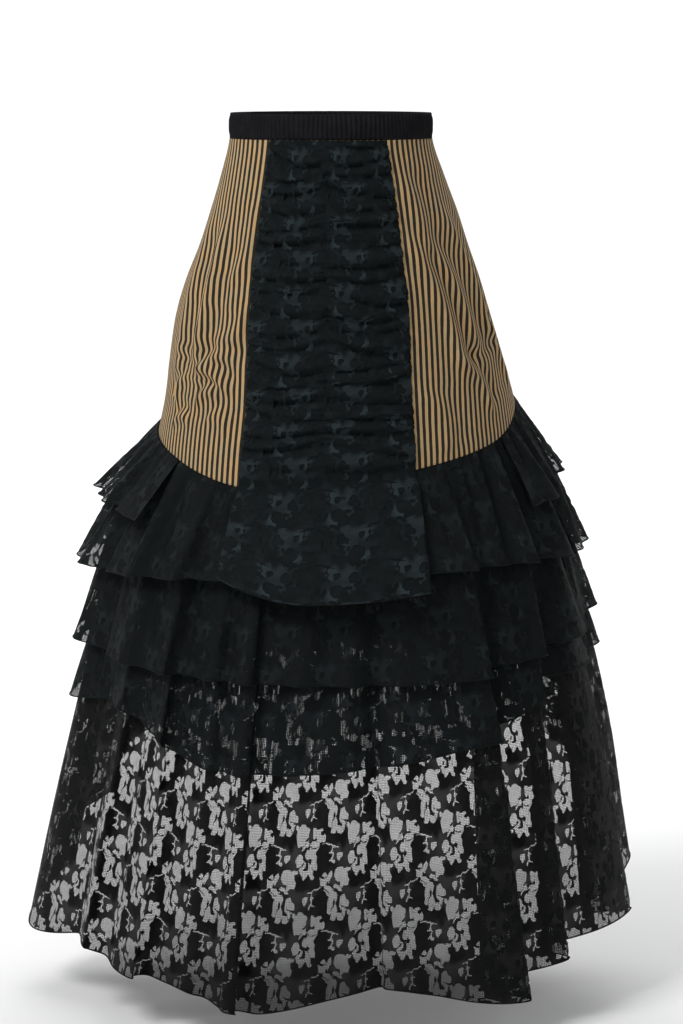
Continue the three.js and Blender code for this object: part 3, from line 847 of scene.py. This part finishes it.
def lace_repeat(slack):
    """One repeat of the lace as flat triangles: two rows of roses, and the net in their gaps."""
    width, height = ROSE_WIDE, 2 * ROSE_TALL
    points = []
    edges = []
    index = {}

    def add(x, y):
        key = (round(x, POINT_DIGITS), round(y, POINT_DIGITS))
        if key not in index:
            index[key] = len(points)
            points.append(Vector((float(x), float(y))))
        return index[key]

    for run in trace_outlines(width, height):
        ids = [add(x, y) for x, y in thin_run(run, slack)]
        edges += [(a, b) for a, b in zip(ids, ids[1:]) if a != b]
    across = np.linspace(0, width, round(width / GROUND_STEP) + 1)
    along = np.linspace(0, height, round(height / GROUND_STEP) + 1)
    for fixed, steps, side in ((0, along, 0), (width, along, 0), (0, across, 1), (height, across, 1)):
        on_edge = [p[1 - side] for p in points if abs(p[side] - fixed) < TOUCH]
        ends = (steps[0], steps[-1])
        free = [s for s in steps if s in ends or all(abs(s - p) > EDGE_CLEAR for p in on_edge)]
        line = sorted(set(on_edge) | {float(s) for s in free})
        ids = [add(*((fixed, s) if side == 0 else (s, fixed))) for s in line]
        edges += list(zip(ids, ids[1:]))
    for j, y in enumerate(along[1:-1]):
        for x in across[:-1] + (width / len(across) / 2 if j % 2 else 0):
            inside = BORDER_CLEAR < x < width - BORDER_CLEAR
            if inside and abs(lace_field(x, y)[0]) > GROUND_CLEAR:
                add(x, y)
    found = delaunay_2d_cdt(points, edges, [], 0, MERGE)
    flat = np.array([tuple(p) for p in found[0]])
    faces = np.array([face for face in found[2] if len(face) == 3])
    middles = flat[faces].mean(axis=1)
    in_cloth = lace_field(middles[:, 0], middles[:, 1])[0] > 0
    tone = lace_field(flat[:, 0], flat[:, 1])[1]
    return {"cloth": (flat, faces[in_cloth], tone), "net": (flat, faces[~in_cloth], tone)}


# Places at which a hem's lowest point is looked for, and the smallest triangle that is kept
HEM_PLACES = 400
SMALLEST = 0.01


def lay_lace(part, left, right, limit):
    """Cloth or net laid flat from left to right and down to a limit that is a function of x."""
    flat, faces, tone = part
    first = math.floor(left / ROSE_WIDE)
    last = math.ceil(right / ROSE_WIDE)
    longest = float(np.max(limit(np.linspace(left, right, HEM_PLACES))))
    rows = math.ceil(longest / (2 * ROSE_TALL))
    tiles = [(i, j) for j in range(rows) for i in range(first, last)]
    places = np.concatenate([
        np.stack([flat[:, 0] + i * ROSE_WIDE, (j + 1) * 2 * ROSE_TALL - flat[:, 1]], -1) for i, j in tiles])
    triangles = np.concatenate([faces[:, ::-1] + n * len(flat) for n in range(len(tiles))])
    tones = np.tile(tone, len(tiles))
    matched = np.round(places, PLACE_DIGITS)
    _, keep, same = np.unique(matched, axis=0, return_index=True, return_inverse=True)
    places, tones, triangles = places[keep], tones[keep], same.ravel()[triangles]
    reach = limit(places[:, 0])
    out = np.stack([places[:, 0] < left, places[:, 0] > right, places[:, 1] > reach], -1)
    triangles = triangles[~out[triangles].all(axis=1).any(axis=1)]
    places[:, 0] = np.clip(places[:, 0], left, right)
    places[:, 1] = np.minimum(places[:, 1], limit(places[:, 0]))
    a, b, c = (places[triangles[:, k]] for k in range(3))
    area = np.abs(np.cross(b - a, c - a)) / 2
    triangles, area = triangles[area > SMALLEST], area[area > SMALLEST]
    used, triangles = np.unique(triangles, return_inverse=True)
    return places[used], triangles.reshape(-1, 3), tones[used], float(area.sum())


# Cloth length down a layer for each millimetre of height, from its slope
LAYER_SLOPE = {"short": 1.3, "first": 1.2, "second": 1.1, "third": 1.07, "flounce": 1.05}
RUFFLE_DROP = 0.8

# Share of a layer's depth at which its flat width is taken, and the turns that it is taken at
WIDTH_DEPTH = 0.74
TURN_PLACES = 6001


class LacePattern:
    """The flat cut of one gathered layer, all round: cloth across and along for each turn."""

    def __init__(self, layer):
        self.layer = layer
        self.name = LAYER_NAMES[layer]
        self.slope = LAYER_SLOPE[self.name]
        self.turns = np.linspace(BACK[0], BACK[0] + FULL_TURN, TURN_PLACES)
        height = mix(hem("seam", self.turns), hem(self.name, self.turns), WIDTH_DEPTH)
        row = layer_point(layer, self.turns, height)
        length = np.append(0, np.cumsum(np.linalg.norm(np.diff(row, axis=0), axis=1)))
        roses = round(length[-1] / ROSE_WIDE)
        self.across = length * roses * ROSE_WIDE / length[-1]

    def across_at(self, turn):
        """Cloth across at a turn of the body."""
        rounds = np.floor((np.asarray(turn) - BACK[0]) / FULL_TURN)
        return np.interp(turn - rounds * FULL_TURN, self.turns, self.across) + rounds * self.across[-1]

    def turn_at(self, across):
        """Turn of the body at a place across the cloth."""
        lap = np.floor(np.asarray(across) / self.across[-1])
        return np.interp(across - lap * self.across[-1], self.across, self.turns) + lap * FULL_TURN

    def length_at(self, turn):
        """Cloth length from the seam to the hem."""
        return (hem("seam", turn) - RUFFLE_DROP - hem(self.name, turn)) * self.slope

    def place(self, across, along):
        """Where a place on the flat cloth hangs."""
        turn = self.turn_at(across)
        height = hem("seam", turn) - RUFFLE_DROP - along / self.slope
        return layer_point(self.layer, turn, height)


# Step along a rolled hem, and its tone
HEM_STEP = 3.5
HEM_TONE = 0.2


def add_lace_layer(node, layer, turns, repeat, materials, roll):
    """One gathered stretch of cut lace with its rolled hem."""
    pattern = LacePattern(layer)
    left, right = (float(pattern.across_at(turn)) for turn in turns)

    def limit(across):
        return pattern.length_at(pattern.turn_at(across))

    laid = {}
    for part, cloth in materials.items():
        flat, faces, tone, area = lay_lace(repeat[part], left + SEAM / 2, right - SEAM / 2, limit)
        points = pattern.place(flat[:, 0], flat[:, 1])
        grain = np.stack([flat[:, 0], flat[:, 1], tone], -1)
        laid[part] = make_piece(f"{node}_{part}", points, faces, cloth, grain), area
    piece, area = laid["cloth"]
    net, _ = laid["net"]
    steps = np.linspace(left + SEAM, right - SEAM, int((right - left) / HEM_STEP))
    path = pattern.place(steps, limit(steps))
    ring, ring_faces = tube(path, roll / MM)
    along = np.repeat(steps, len(ring) // len(steps))
    ring_grain = np.stack([along, along * 0, along * 0 + HEM_TONE], -1)
    hem_piece = make_piece(f"{node}_hem", ring, ring_faces, materials["cloth"], ring_grain)
    for part in (piece, net, hem_piece):
        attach(part, BODY_NAME)
    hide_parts(node)
    tall = float(np.max(limit(np.linspace(left, right, HEM_PLACES)))) * MM
    area * MM * MM


# How a crease bows aside, dips beside its ridge, fades at its ends and moves the stripes aside
CREASE_RADIUS = 160
CREASE_BOW = 0.9
CREASE_DIP = 0.55
CREASE_DIP_PLACE = 1.5
CREASE_FULL = 0.32
CREASE_FADE = 0.03
CREASE_ASIDE = 0.45


def creased(points, out, turn, height, creases, strength):
    """Points of a panel moved out, in and aside by its creases."""
    girth = body_girth(height)
    aside = np.stack([out[..., 1], -out[..., 0]], -1)
    for row in zip(*creases.values()):
        turn0, height0, turn1, height1, width, rise = row
        x0, x1 = np.radians(turn0) * girth, np.radians(turn1) * girth
        x = np.radians(turn) * girth
        length = np.hypot(np.radians(turn1 - turn0) * CREASE_RADIUS, height1 - height0)
        ux, uy = (x1 - x0) / length, (height1 - height0) / length
        along = ((x - x0) * ux + (height - height0) * uy) / length
        across = ((height - height0) * ux - (x - x0) * uy) / width
        bow = CREASE_BOW * np.sin(np.pi * np.clip(along, 0, 1))
        fold = np.exp(-((across - bow) ** 2)) - CREASE_DIP * np.exp(-((across - bow - CREASE_DIP_PLACE) ** 2))
        fade = np.exp(-np.maximum(0, np.abs(along - 0.5) - CREASE_FULL) ** 2 / CREASE_FADE)
        move = strength * rise * fold * fade
        points = points + out * move[..., None] + aside * (CREASE_ASIDE * move)[..., None]
    return points


# Height at which the yoke's lower seam is met, and the shares of a panel that its seams keep smooth
YOKE_LOW = -400
SMOOTH_SIDE = 0.05
SMOOTH_END = 0.04

# How far the first tan stripe stands from the seam that it starts at
STRIPE_START = 0.3


def striped_grid(columns, rows, left, right, creases, strength):
    """Points of a striped panel and its cloth coordinates. left and right give its edges' turns."""
    share, down = np.meshgrid(np.linspace(0, 1, columns + 1), np.linspace(0, 1, rows + 1))
    low = hem("seam", mix(left(YOKE_LOW), right(YOKE_LOW), share))
    height = mix(BAND_BOTTOM - SEAM, low, down)
    margin = np.degrees(SEAM / 2 / read(BODY, "left", height))
    turn = mix(left(height) + margin, right(height) - margin, share)
    place, out = oval(BODY, height, turn)
    from_side = np.minimum(np.minimum(share, 1 - share) / SMOOTH_SIDE, 1)
    from_end = np.minimum(np.minimum(down, 1 - down) / SMOOTH_END, 1)
    bent = creased(place, out, turn, height, creases, strength)
    place = place + (bent - place) * smooth(from_side * from_end, 0, 1)[..., None]
    points = np.concatenate([place, height[..., None]], -1)
    steps = np.linalg.norm(np.diff(points[..., :2], axis=1), axis=2)
    across = np.concatenate([np.zeros((rows + 1, 1)), np.cumsum(steps, axis=1)], 1)
    return points, across, -height


def add_striped_panel(node, grid, start, wall, material):
    """A striped panel whose stripes run along the cloth from its start column."""
    points, across, along = grid
    rows, columns = across.shape
    across = across - across[:, [start]] + STRIPE_START
    grain = np.stack([across, along, across * 0], -1).reshape(-1, 3)
    faces = grid_faces(columns - 1, rows - 1)
    piece = make_piece(f"{node}_cotton", points.reshape(-1, 3), faces, material, grain, wall)
    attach(piece, BODY_NAME)
    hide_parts(node)
    wide = float(np.max(across.max(axis=1) - across.min(axis=1)))
    tall = float(along.max() - along.min())
    quads = points[:-1, :-1], points[:-1, 1:], points[1:, :-1]
    area = float(np.linalg.norm(np.cross(quads[1] - quads[0], quads[2] - quads[0]), axis=-1).sum())


# Swag folds wander differently on the three gathering lines, in a long and a short wave
LINE_WANDER = {"left": 0.4, "middle": 2.3, "right": 4.4}
SWAG_WAVES = ((0.28, 2.1, 1), (0.16, 0.9, 2))

# How far swags sag between two gathering lines, and how much of that changes down the panel
SWAG_SAG = 9.0
SAG_EVEN = 0.6
SAG_UNEVEN = 0.4
SAG_LENGTH = 37

# Shape of a swag: where its ridge stands, how sharp it is, and how its rise changes
RIDGE_LEAN = 1.45
RIDGE_ROUND = 0.75
RIDGE_SIZES = (0.72, 0.28, 2.7, 1.7)
SIDE_SHIFT = 2.6
LINE_RISE = 0.42
SWAG_SPREAD = 0.6
FINE_RISE = 0.10

# The free flap: its rise at the seam, and how far it hangs off the ruffle under it
FREE_RISE = 2.4
FLAP_CLEARANCE = 5.0
FLAP_SWING = 26.0

# Soft folds of the free flap, as shares across and down
FLAP_FOLDS = table(
    "x y to_x to_y width rise",
    (0.52, 0.02, 0.74, 0.26, 0.022, 3.4), (0.50, 0.36, 0.66, 0.74, 0.03, 2.6),
    (0.80, 0.22, 0.97, 0.10, 0.03, 3.0), (0.12, 0.10, 0.34, 0.22, 0.04, 2.4),
    (0.28, 0.45, 0.20, 0.85, 0.05, 2.2), (0.86, 0.40, 0.80, 0.90, 0.05, 2.4),
)
FOLD_DIP = 0.6
FOLD_FULL = 0.3
FOLD_FADE = 0.04

# Height at which the flap's sides are met, and the shares over which the panel's parts pass into each other
FLAP_LOW = -500
SWAGS_BEGIN = (0, 0.02)
SWAGS_END = (0.93, 1.0)
FREE_BEGINS = (0.8, 1)
FLAP_BEGINS = (0, 0.16)
FOLDS_BEGIN = (0, 0.15)


def swag_count(line, fallen, pitch):
    """How many folds have passed on a gathering line after a fall in millimetres."""
    t = fallen / pitch
    start = LINE_WANDER[line]
    return t + sum(size * np.sin(rate * t + times * start) for size, rate, times in SWAG_WAVES)


def swag_height(share, fallen, pitch):
    """Rise of the ruched folds, from 0 in a valley to 1 on a ridge."""
    on_left = share < 0.5
    half = np.where(on_left, share * 2, share * 2 - 1)
    swag = np.sin(np.pi * half)
    hang = fallen - SWAG_SAG * swag * (SAG_EVEN + SAG_UNEVEN * np.sin(fallen / SAG_LENGTH + 3 * share))
    counts = [swag_count(line, hang, pitch) for line in ("left", "middle", "right")]
    count = np.where(on_left, mix(counts[0], counts[1], half), mix(counts[1], counts[2], half))
    fold = np.floor(count)
    ridge = np.sin(np.pi * (count - fold) ** RIDGE_LEAN) ** RIDGE_ROUND
    even, uneven, by_fold, by_half = RIDGE_SIZES
    size = even + uneven * np.sin(by_fold * fold + np.where(on_left, 0.0, SIDE_SHIFT) + by_half * half)
    fine = FINE_RISE * np.sin(2 * np.pi * 3 * count + 5 * share) * (1 - swag) ** 2
    return ridge * size * (LINE_RISE + (1 - LINE_RISE) * swag**SWAG_SPREAD) + fine


def ruched_point(share, along, sizes, lift=0.0):
    """A point of the ruched panel. along runs from 0 to 1 on the yoke and from 1 to 2 on the flap."""
    share = np.asarray(share, dtype=float)
    down = np.clip(along, 0, 1)
    free = np.clip(along - 1, 0, 1)
    guess = mix(ruched_edge("left", YOKE_LOW), ruched_edge("right", YOKE_LOW), share)
    height = mix(BAND_BOTTOM - SEAM, hem("seam", guess), down)
    fallen = BAND_BOTTOM - SEAM - height
    low_guess = mix(ruched_edge("left", FLAP_LOW), ruched_edge("right", FLAP_LOW), share)
    side = np.where(share < 0.5, FLAP_BELOW["left"], FLAP_BELOW["right"])
    below = mix(FLAP_BELOW["middle"], side, np.abs(2 * share - 1) ** 2)
    height = mix(height, hem("first", low_guess) - below, free)
    margin = np.degrees(SEAM / 2 / read(BODY, "left", height)) * (free <= 0)
    turn = mix(ruched_edge("left", height) + margin, ruched_edge("right", height) - margin, share)
    body, out = oval(BODY, height, turn)
    rise = sizes.swag_rise / MM * swag_height(share, fallen, sizes.swag_pitch / MM)
    rise = rise * (1 - smooth(down, *SWAGS_END)) * smooth(down, *SWAGS_BEGIN)
    rise = rise + FREE_RISE * smooth(down, *FREE_BEGINS)
    upper = body + out * (rise + lift)[..., None]
    depth = depth_at(height, turn)
    swing = FLAP_SWING * (depth / HEM_DEPTH) ** SWING_CURVE + FLAP_CLEARANCE
    hung, hung_out = hanging_point(1, turn, turn, height, depth, swing)
    fold = np.zeros(share.shape)
    for x0, y0, x1, y1, width, size in zip(*FLAP_FOLDS.values()):
        dx, dy = x1 - x0, y1 - y0
        t = ((share - x0) * dx + (free - y0) * dy) / (dx * dx + dy * dy)
        off = ((free - y0) * dx - (share - x0) * dy) / math.hypot(dx, dy) / width
        fade = np.exp(-np.maximum(0, np.abs(t - 0.5) - FOLD_FULL) ** 2 / FOLD_FADE)
        dip = FOLD_DIP * np.exp(-((off - CREASE_DIP_PLACE) ** 2))
        fold = fold + size * fade * (np.exp(-(off**2)) - dip)
    hung = hung[..., :2] + hung_out * ((fold * smooth(free, *FOLDS_BEGIN)) + lift)[..., None]
    place = mix(upper, hung, smooth(free, *FLAP_BEGINS)[..., None])
    return np.concatenate([place, height[..., None]], -1)


class SKIRT_OT_waistband(bpy.types.Operator):
    """Adds the gathered elastic waistband in two halves."""

    bl_idname = "skirt.waistband"
    bl_label = "Waistband"

    radius = 119
    wall = 0.0018
    cut_height = 0.032
    columns = 360
    rows = 8
    ribs = 132
    rib_rise = 0.9
    belly_rise = 1.5
    sunk = 0.4
    rib_even = 0.35
    channels = (0.16, 0.84)
    channel_width = 0.05
    channel_depth = 1.1

    def execute(self, context):
        cloth = plain_cloth("waist_elastic", context.scene.skirt_colours.elastic, 0.65, 0.9)
        for node, start, end in (
            ("waistband_back", -SIDE_SEAM, SIDE_SEAM), ("waistband_front", SIDE_SEAM, FULL_TURN - SIDE_SEAM)):
            share, down = np.meshgrid(np.linspace(0, 1, self.columns + 1), np.linspace(0, 1, self.rows + 1))
            height = mix(BAND_TOP, BAND_BOTTOM, down)
            margin = np.degrees(SEAM / 2 / self.radius)
            turn = mix(start + margin, end - margin, share)
            place, out = oval(BODY, height, turn)
            angle = np.radians(turn)
            rib = np.cos(self.ribs * angle + 0.9 * np.sin(9 * angle) + 0.5 * np.sin(4 * down + 11 * angle))
            channel = sum(np.exp(-((down - at) / self.channel_width) ** 2) for at in self.channels)
            belly = np.sin(np.pi * down) ** 0.5
            rib_share = self.rib_even + (1 - self.rib_even) * belly
            rise = belly * self.belly_rise - self.sunk + self.rib_rise * rib * rib_share
            rise = rise - self.channel_depth * channel
            points = np.concatenate([place + out * rise[..., None], height[..., None]], -1)
            across = np.radians(turn) * self.radius
            grain = np.stack([across, -height, across * 0], -1).reshape(-1, 3)
            faces = grid_faces(self.columns, self.rows)
            piece = make_piece(f"{node}_casing", points.reshape(-1, 3), faces, cloth, grain, self.wall)
            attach(piece, BODY_NAME)
            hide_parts(node)
        return {"FINISHED"}


class SKIRT_OT_striped_panels(bpy.types.Operator):
    """Adds the two striped side panels and the striped front."""

    bl_idname = "skirt.striped_panels"
    bl_label = "Striped panels"

    side_rows = 170
    left_columns = 110
    right_columns = 120
    front_columns = 180
    front_rows = 90

    def execute(self, context):
        sizes = context.scene.skirt_sizes
        cloth = striped_cotton(sizes, context.scene.skirt_colours)
        strength = sizes.crease_share

        def seam_at(turn):
            return lambda height: np.zeros(np.shape(height)) + turn

        left = striped_grid(
            self.left_columns, self.side_rows, seam_at(-SIDE_SEAM), partial(ruched_edge, "left"),
            CREASES["left"], strength)
        right = striped_grid(
            self.right_columns, self.side_rows, partial(ruched_edge, "right"), seam_at(SIDE_SEAM),
            CREASES["right"], strength)
        front = striped_grid(
            self.front_columns, self.front_rows, seam_at(SIDE_SEAM), seam_at(FULL_TURN - SIDE_SEAM),
            CREASES["front"], strength)
        wall = sizes.cotton_wall
        add_striped_panel("side_panel_left", left, self.left_columns, wall, cloth)
        add_striped_panel("side_panel_right", right, 0, wall, cloth)
        add_striped_panel("front_panel", front, self.front_columns // 2, wall, cloth)
        return {"FINISHED"}


class SKIRT_OT_ruched_panel(bpy.types.Operator):
    """Adds the ruched centre back panel and the lace that covers it."""

    bl_idname = "skirt.ruched_panel"
    bl_label = "Ruched panel"

    columns = 66
    yoke_rows = 250
    flap_rows = 40
    wall = 0.001
    lace_lift = 0.7
    cut_share = 1.06
    yoke_share = 0.76

    def execute(self, context):
        sizes = context.scene.skirt_sizes
        colours = context.scene.skirt_colours
        base = plain_cloth("ruched_base", colours.base, 0.7, 0.8)
        # The ruched lace takes the brighter copy of the lace colour, which paints a highlight over the ruched
        # folds.
        lace = rose_lace("ruched_lace", colours.lace, colours.ruched_painted_highlight)
        along = np.concatenate([
            np.linspace(0, 1, self.yoke_rows, endpoint=False), np.linspace(1, 2, self.flap_rows + 1)])
        share, along = np.meshgrid(np.linspace(0, 1, self.columns + 1), along)
        points = ruched_point(share, along, sizes)
        widths = np.linalg.norm(np.diff(points, axis=1), axis=2).sum(axis=1)
        width = widths.mean()
        fall = np.linalg.norm(np.diff(points, axis=0), axis=2).sum(axis=0).mean() * self.cut_share
        yoke = self.yoke_share
        flat_along = np.where(along < 1, along * yoke, yoke + (along - 1) * (1 - yoke)) * fall
        grain = np.stack([share * width, flat_along, share * 0], -1).reshape(-1, 3)
        faces = grid_faces(self.columns, len(along) - 1)
        panel = make_piece("ruched_panel_base", points.reshape(-1, 3), faces, base, grain, self.wall)
        repeat = lace_repeat(PLAIN_SLACK)
        flat, triangles, tone, area = lay_lace(
            repeat["cloth"], 0, width, lambda x: np.full(np.shape(x), fall))
        spread = flat[:, 1] / fall
        way = np.where(spread < yoke, spread / yoke, 1 + (spread - yoke) / (1 - yoke))
        covering = ruched_point(flat[:, 0] / width, way, sizes, self.lace_lift)
        cover_grain = np.stack([flat[:, 0], flat[:, 1], tone], -1)
        cover = make_piece("ruched_panel_lace", covering, triangles, lace, cover_grain)
        for piece in (panel, cover):
            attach(piece, BODY_NAME)
        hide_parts("ruched_panel")
        area * MM * MM
        return {"FINISHED"}


class SKIRT_OT_lace_ruffles(bpy.types.Operator):
    """Adds the four gathered lace ruffles."""

    bl_idname = "skirt.lace_ruffles"
    bl_label = "Lace ruffles"

    net_closed = 0.6
    sheer = 0

    def execute(self, context):
        colours = context.scene.skirt_colours
        lace = lace_materials("rose", colours, self.net_closed, colours.lace, colours.lace_light, self.sheer)
        roll = context.scene.skirt_sizes.hem_roll
        repeat = lace_repeat(PLAIN_SLACK)
        add_lace_layer("ruffle_short_right", 0, SHORT_RIGHT, repeat, lace, roll)
        add_lace_layer("ruffle_short_left", 0, SHORT_LEFT, repeat, lace, roll)
        for layer in (1, 2, 3):
            name = f"ruffle_{LAYER_NAMES[layer]}"
            add_lace_layer(f"{name}_back", layer, BACK, repeat, lace, roll)
            add_lace_layer(f"{name}_front", layer, FRONT, repeat, lace, roll)
        return {"FINISHED"}


class SKIRT_OT_flounce(bpy.types.Operator):
    """Adds the long lace flounce."""

    bl_idname = "skirt.flounce"
    bl_label = "Flounce"

    net_closed = 0.46
    sheer = 0.045

    def execute(self, context):
        colours = context.scene.skirt_colours
        lace = lace_materials(
            "flounce", colours, self.net_closed, colours.flounce, colours.flounce_light, self.sheer)
        roll = context.scene.skirt_sizes.hem_roll
        repeat = lace_repeat(FINE_SLACK)
        add_lace_layer("flounce_back", 4, BACK, repeat, lace, roll)
        add_lace_layer("flounce_front", 4, FRONT, repeat, lace, roll)
        return {"FINISHED"}


class SKIRT_OT_stage(bpy.types.Operator):
    """Adds the pale floor, the soft lights and the camera."""

    bl_idname = "skirt.stage"
    bl_label = "Stage"

    camera_place = (-0.0125, 4.0, 0.100)
    camera_tilt = 8.0
    camera_lens = 118.1
    camera_sensor = 36
    camera_reach = 50
    room_colour = (0.97, 0.98, 1.0, 1)
    floor_reach = 9.0
    sweep_radius = 1.8
    sweep_start = 7.0

    def execute(self, context):
        stage = context.scene.skirt_stage
        floor_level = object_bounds()[0][2] - stage.drop
        self.add_floor(floor_level)
        self.add_light("key", (2.3, 2.2, 2.8), (0, 0, -0.45), 1.6, stage.key_power)
        self.add_light("fill", (-2.6, 2.4, 1.2), (0, 0, -0.5), 2.6, stage.fill_power)
        self.add_light("back", (0.6, -2.6, 2.4), (0, 0, -0.5), 2.2, stage.fill_power)
        self.add_light("backdrop", (0, -3.0, 3.8), (0, -6.6, -0.8), 4.0, stage.backdrop_power)
        world = bpy.data.worlds.new("room")
        context.scene.world = world
        world.use_nodes = True
        background = world.node_tree.nodes["Background"]
        background.inputs["Color"].default_value = self.room_colour
        background.inputs["Strength"].default_value = stage.room
        context.scene.view_settings.view_transform = "Standard"
        camera = bpy.data.cameras.new("camera")
        camera.lens = self.camera_lens
        camera.sensor_width = self.camera_sensor
        camera.clip_end = self.camera_reach
        eye = bpy.data.objects.new("camera", camera)
        eye.location = self.camera_place
        eye.rotation_euler = (math.radians(90 - self.camera_tilt), 0, math.pi)
        context.scene.collection.objects.link(eye)
        context.scene.camera = eye
        return {"FINISHED"}

    def add_floor(self, level):
        """A floor that sweeps up into a backdrop behind the front of the skirt."""
        finish = Finish("pale_floor")
        place = finish.node("ShaderNodeNewGeometry", output="Position")
        cloudy = finish.noise(place, 1.4, 2.0)
        colour = finish.blend(cloudy, (0.86, 0.86, 0.855), (0.90, 0.90, 0.895))
        roughness = 0.85 + cloudy * 0.1
        material = finish.shade(
            colour, roughness, finish.bump(cloudy, 0.001, 0.1), {"Specular IOR Level": 0.2})
        outline = [(self.floor_reach, 0.0)]
        for step in range(0, 91, 6):
            angle = math.radians(step)
            outline.append((
                -self.sweep_start - self.sweep_radius * math.sin(angle),
                self.sweep_radius * (1 - math.cos(angle))))
        outline.append((-self.sweep_start - self.sweep_radius, self.floor_reach))
        sides = (-self.floor_reach, self.floor_reach)
        points = [(x / MM, y / MM, (z + level) / MM) for y, z in outline for x in sides]
        floor = make_piece("floor", points, grid_faces(1, len(outline) - 1), material)
        floor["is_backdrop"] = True

    def add_light(self, name, place, target, size, power):
        """A soft square light at a place, turned to its target."""
        light = bpy.data.lights.new(name, "AREA")
        light.shape = "SQUARE"
        light.size = size
        light.energy = power
        lamp = bpy.data.objects.new(name, light)
        lamp.location = place
        lamp.rotation_euler = (Vector(target) - Vector(place)).to_track_quat("-Z", "Y").to_euler()
        bpy.context.scene.collection.objects.link(lamp)


class SKIRT_PT_panel(bpy.types.Panel):
    """Lists the skirt's sizes, colours and steps."""

    bl_label = "Skirt"
    bl_idname = "SKIRT_PT_panel"
    bl_space_type = "VIEW_3D"
    bl_region_type = "UI"
    bl_category = "Skirt"

    def draw(self, context):
        for group in (context.scene.skirt_sizes, context.scene.skirt_colours, context.scene.skirt_stage):
            for name in group.__annotations__:
                self.layout.prop(group, name)
        for step in STEPS:
            self.layout.operator(step.bl_idname)


GROUPS = (SkirtSizes, SkirtColours, StageSettings)
STEPS = (
    SKIRT_OT_waistband, SKIRT_OT_striped_panels, SKIRT_OT_ruched_panel, SKIRT_OT_lace_ruffles,
    SKIRT_OT_flounce, SKIRT_OT_stage,
)


def register():
    for item in (*GROUPS, *STEPS, SKIRT_PT_panel):
        bpy.utils.register_class(item)
    bpy.types.Scene.skirt_sizes = bpy.props.PointerProperty(type=SkirtSizes)
    bpy.types.Scene.skirt_colours = bpy.props.PointerProperty(type=SkirtColours)
    bpy.types.Scene.skirt_stage = bpy.props.PointerProperty(type=StageSettings)


def unregister():
    for name in ("skirt_sizes", "skirt_colours", "skirt_stage"):
        delattr(bpy.types.Scene, name)
    for item in (SKIRT_PT_panel, *reversed(STEPS), *reversed(GROUPS)):
        bpy.utils.unregister_class(item)


def main():
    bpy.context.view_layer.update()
    register()
    for step in STEPS:
        group, name = step.bl_idname.split(".")
        getattr(getattr(bpy.ops, group), name)()


if __name__ == "__main__":
    main()
